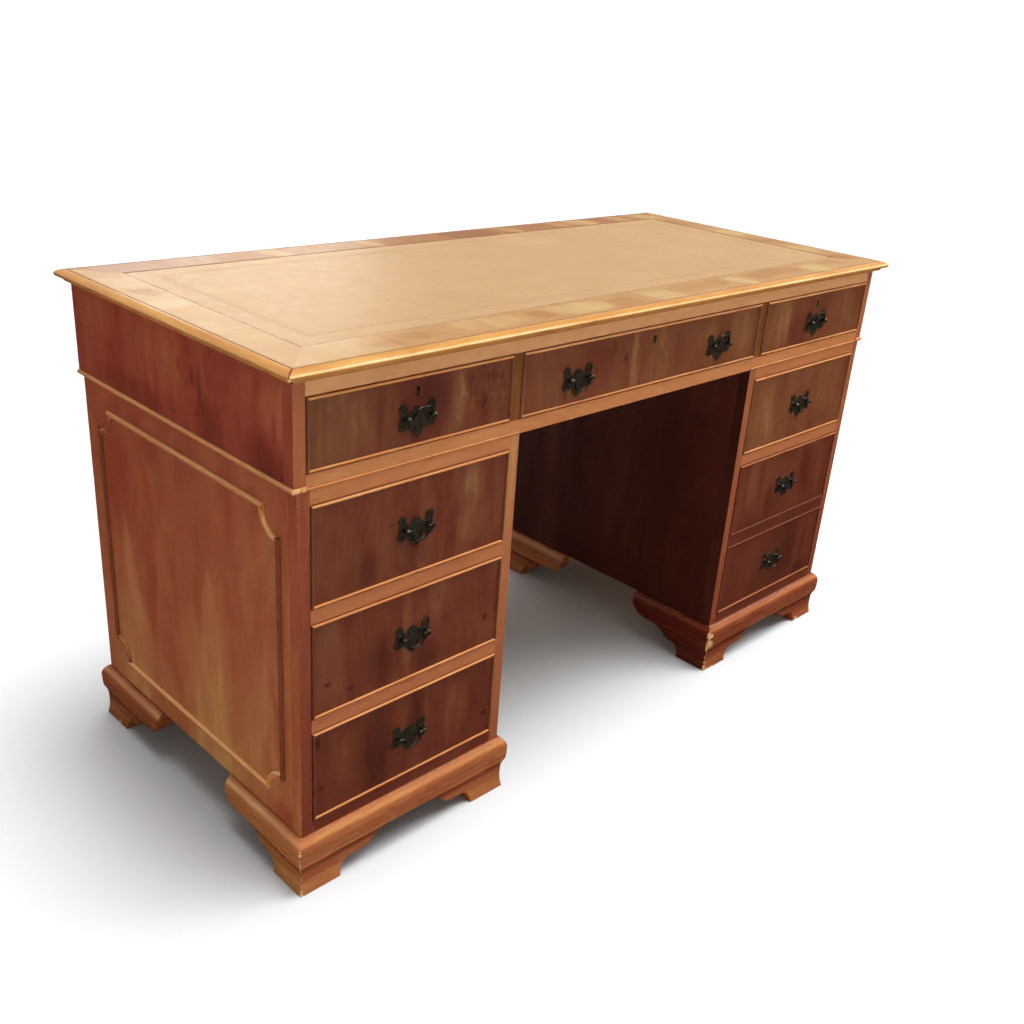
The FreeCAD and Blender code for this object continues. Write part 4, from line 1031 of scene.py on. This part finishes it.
# tooled border between the pressed lines: a running row of small leaves, leaning left and right in turn,
# sunk a little into the leather, in mm
stampLook = {"Spacing": 8.2 * mm, "Length": 6.0 * mm, "Width": 1.7 * mm, "Height": 0.16 * mm, "Lean": 0.62}
stampSunk = 0.04
tree, given, spots = pathTree("tooledBorder", stampLook)
half = put(tree, "ShaderNodeCombineXYZ", [given["Length"], given["Width"], given["Height"]])
leaf = put(tree, "GeometryNodeMeshUVSphere", {"Segments": 8, "Rings": 4, "Radius": 0.5})
leaf = put(tree, "GeometryNodeTransform", {"Geometry": leaf, "Scale": half})
turn = put(tree, "FunctionNodeAlignRotationToVector", {"Vector": spots.node.outputs["Tangent"]}, axis="X",
           pivot_axis="Z")
odd = put(tree, "ShaderNodeMath", [put(tree, "GeometryNodeInputIndex"), 2.0], operation="MODULO")
side = put(tree, "ShaderNodeMath", [odd, 2.0, -1.0], operation="MULTIPLY_ADD")
lean = put(tree, "ShaderNodeMath", [side, given["Lean"]], operation="MULTIPLY")
lean = put(tree, "FunctionNodeAxisAngleToRotation", {"Axis": (0, 0, 1), "Angle": lean})
turn = put(tree, "FunctionNodeRotateRotation", {"Rotation": turn, "Rotate By": lean}, rotation_space="LOCAL")
closeTree(tree, spots, leaf, turn, leathers["leatherTooling"])
corners = cornersIn(low, high, (insets[0] + insets[1]) / 2, 0, 1)
corners = [(x, y, high[2] - stampSunk) for x, y in corners]
count = growAlong("tooledBorder", tree, stampLook, corners, loopFrom(0), "carcass")
print("tooled border:", count, "faces")

# slotted screws, heads towards the back of the desk, slots turned at random; the groove's length in head
# radii and how far up the head its middle is
screwLook = {"Spacing": 118 * mm, "Radius": 3.3 * mm, "Head": 0.9 * mm, "Slot": 0.8 * mm, "Seed": 11.0}
lockScrewLook = {"Radius": 2.1 * mm, "Head": 0.7 * mm, "Slot": 0.6 * mm}
grooveLook = dict(long=3.0, lift=0.55)
screwInset = dict(back=7.0, lock=4)
tree, given, spots = pathTree("slottedScrews", screwLook)
head = put(tree, "GeometryNodeMeshCylinder",
           {"Vertices": 20, "Radius": given["Radius"], "Depth": given["Head"]})
reach = put(tree, "ShaderNodeMath", [given["Radius"], grooveLook["long"]], operation="MULTIPLY")
groove = put(tree, "ShaderNodeCombineXYZ", [reach, given["Slot"], given["Head"]])
groove = put(tree, "GeometryNodeMeshCube", {"Size": groove})
lift = put(tree, "ShaderNodeMath", [given["Head"], grooveLook["lift"]], operation="MULTIPLY")
lift = put(tree, "ShaderNodeCombineXYZ", [0.0, 0.0, lift])
groove = put(tree, "GeometryNodeTransform", {"Geometry": groove, "Translation": lift})
head = put(tree, "GeometryNodeMeshBoolean", {"Mesh 1": head, "Mesh 2": groove}, operation="DIFFERENCE")
head = put(tree, "GeometryNodeTransform", {"Geometry": head, "Rotation": (-math.pi / 2, 0, 0)})
spin = put(tree, "FunctionNodeRandomValue", {2: 0.0, 3: math.pi, "Seed": given["Seed"]}, out=1,
           data_type="FLOAT")
spin = put(tree, "FunctionNodeAxisAngleToRotation", {"Axis": (0, 1, 0), "Angle": spin})
closeTree(tree, spots, head, spin, brasses["dullBrass"])
points, edges = [], []
for node in ("frieze_back_panel", "pedestal_backs"):
    for bm in solidsOf(node):
        low, high = (corner / mm for corner in boxOf(bm))
        bm.free()
        edges += loopFrom(len(points))
        points += [(x, high[1], z) for x, z in cornersIn(low, high, screwInset["back"], 0, 2)]
count = growAlong("backPanelScrews", tree, screwLook, points, edges, "carcass")
for node, (low, high) in lockCases.items():
    low, high, inset = low / mm, high / mm, screwInset["lock"]
    rows = [(x, high[1], z) for z in (low[2] + inset, high[2] - inset)
            for x in (low[0] + inset, high[0] - inset)]
    lockScrews = {**screwLook, **lockScrewLook, "Spacing": (high[0] - low[0] - 2 * inset) * mm}
    count += growAlong(pieceName(node).replace("Brassware", "LockScrews"), tree, lockScrews, rows,
                       [(0, 1), (2, 3)], bodyOf[node])
print("screws:", count, "faces")

# stage, in m: pale floor, plain white surround, a soft light overhead, a long strip light in front to the
# right that draws a line on every round edge, and one low window whose shine lies on the leather
stageLook = dict(floor=40.0, floorColour="#d3d5d7", wall=30.0, wallHigh=22.0, wallSunk=0.1, wallSides=64,
                 wallStrength=1.05)


def stageThing(name, mesh, finish, kind, inputs):
    material, tree = freshTree(finish)
    put(tree, "ShaderNodeOutputMaterial", {"Surface": put(tree, kind, inputs)})
    mesh.materials.append(material)
    thing = bpy.data.objects.new(name, mesh)
    scene.collection.objects.link(thing)
    thing.visible_glossy = False
    return thing


floorMesh = bpy.data.meshes.new("studioFloor")
half = stageLook["floor"]
floorMesh.from_pydata([(-half, -half, 0), (half, -half, 0), (half, half, 0), (-half, half, 0)], [],
                      [(0, 1, 2, 3)])
floor = stageThing("studioFloor", floorMesh, "paleMattFloor", "ShaderNodeBsdfDiffuse",
                   {"Color": linearColour(stageLook["floorColour"])})
wallMesh = bpy.data.meshes.new("studioSurround")
raised = Matrix.Translation((0, 0, stageLook["wallHigh"] / 2 - stageLook["wallSunk"]))
bm = bmesh.new()
bmesh.ops.create_cone(bm, cap_ends=False, segments=stageLook["wallSides"], radius1=stageLook["wall"],
                      radius2=stageLook["wall"], depth=stageLook["wallHigh"], matrix=raised)
bm.to_mesh(wallMesh)
bm.free()
wall = stageThing("studioSurround", wallMesh, "whiteSurround", "ShaderNodeEmission",
                  {"Color": (1, 1, 1, 1), "Strength": stageLook["wallStrength"]})
wall.visible_diffuse = wall.visible_shadow = wall.visible_transmission = False
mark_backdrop(floor, wall)

# haze from just above the horizon, thinner towards the top, and a round glow overhead
skyLook = dict(haze=0.46, hazeFrom=(0.0, 0.06), thin=0.15, thinFrom=(0.3, 0.85), glow=(0.16, -0.11, 1.0),
               glowFall=30.0, glowStrength=24.0)
world = bpy.data.worlds.new("studioLight")
scene.world = world
world.use_nodes = True
tree = world.node_tree
tree.nodes.clear()
way = put(tree, "ShaderNodeTexCoord", out=0)
up = put(tree, "ShaderNodeSeparateXYZ", [way], out=2)
light = put(tree, "ShaderNodeMapRange", [up, *skyLook["hazeFrom"], 0.0, skyLook["haze"]])
dim = put(tree, "ShaderNodeMapRange", [up, *skyLook["thinFrom"], 1.0, skyLook["thin"]])
light = put(tree, "ShaderNodeMath", [light, dim], operation="MULTIPLY")
near = put(tree, "ShaderNodeVectorMath", [way, tuple(Vector(skyLook["glow"]).normalized())], out=1,
           operation="DOT_PRODUCT")
near = put(tree, "ShaderNodeMath", [near, 0.0], operation="MAXIMUM")
near = put(tree, "ShaderNodeMath", [near, skyLook["glowFall"]], operation="POWER")
light = put(tree, "ShaderNodeMath", [near, skyLook["glowStrength"], light], operation="MULTIPLY_ADD")
back = put(tree, "ShaderNodeBackground", {"Color": (1, 1, 1, 1), "Strength": light})
put(tree, "ShaderNodeOutputWorld", {"Surface": back})

windowLook = dict(place=(1.0, 2.7, 1.5), aim=(-0.35, 0.0, 0.78), size=(1.2, 0.9), colour=(1.0, 0.97, 0.86),
                  power=9.2)
stripLook = dict(start=(1.2, -1.6, 2.7), end=(3.2, -1.2, 1.9), aim=(0.0, -0.3, 0.7), wide=0.8,
                 colour=(1, 1, 1), power=30.0)


def areaLight(name, look, size, place, turn):
    lamp = bpy.data.lights.new(name, "AREA")
    lamp.shape, lamp.energy, lamp.color = "RECTANGLE", look["power"], look["colour"]
    lamp.size, lamp.size_y = size
    lampObject = bpy.data.objects.new(name, lamp)
    lampObject.matrix_world = Matrix.Translation(place) @ turn.to_4x4()
    lampObject.visible_camera = False
    scene.collection.objects.link(lampObject)


place = Vector(windowLook["place"])
turn = (Vector(windowLook["aim"]) - place).to_track_quat("-Z", "Y").to_matrix()
areaLight("windowLight", windowLook, windowLook["size"], place, turn)
start, end = Vector(stripLook["start"]), Vector(stripLook["end"])
place = (start + end) / 2
along = (end - start).normalized()
aim = Vector(stripLook["aim"]) - place
back = (along * aim.dot(along) - aim).normalized()
turn = Matrix((along, back.cross(along), back)).transposed()
areaLight("stripLight", stripLook, ((end - start).length, stripLook["wide"]), place, turn)

# camera at the photograph's place in m: lens and frame in mm, angles in degrees
cameraLook = dict(lens=38.41, frame=36.0, azimuth=46.11, elevation=24.05, roll=4.26,
                  place=(-1.3437, -1.2946, 1.1463))
azimuth, elevation, roll = (math.radians(cameraLook[k]) for k in ("azimuth", "elevation", "roll"))
flat = math.cos(elevation)
ahead = Vector((math.sin(azimuth) * flat, math.cos(azimuth) * flat, -math.sin(elevation)))
level = Vector((math.cos(azimuth), -math.sin(azimuth), 0))
above = level.cross(ahead)
rightWay = level * math.cos(roll) + above * math.sin(roll)
upWay = above * math.cos(roll) - level * math.sin(roll)
camera = bpy.data.cameras.new("camera")
camera.lens, camera.sensor_width = cameraLook["lens"], cameraLook["frame"]
cameraObject = bpy.data.objects.new("camera", camera)
turn = Matrix((rightWay, upWay, -ahead)).transposed()
cameraObject.matrix_world = Matrix.Translation(cameraLook["place"]) @ turn.to_4x4()
scene.collection.objects.link(cameraObject)
scene.camera = cameraObject
scene.view_settings.view_transform = "Standard"
print("stage, lights and camera set")

low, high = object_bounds()
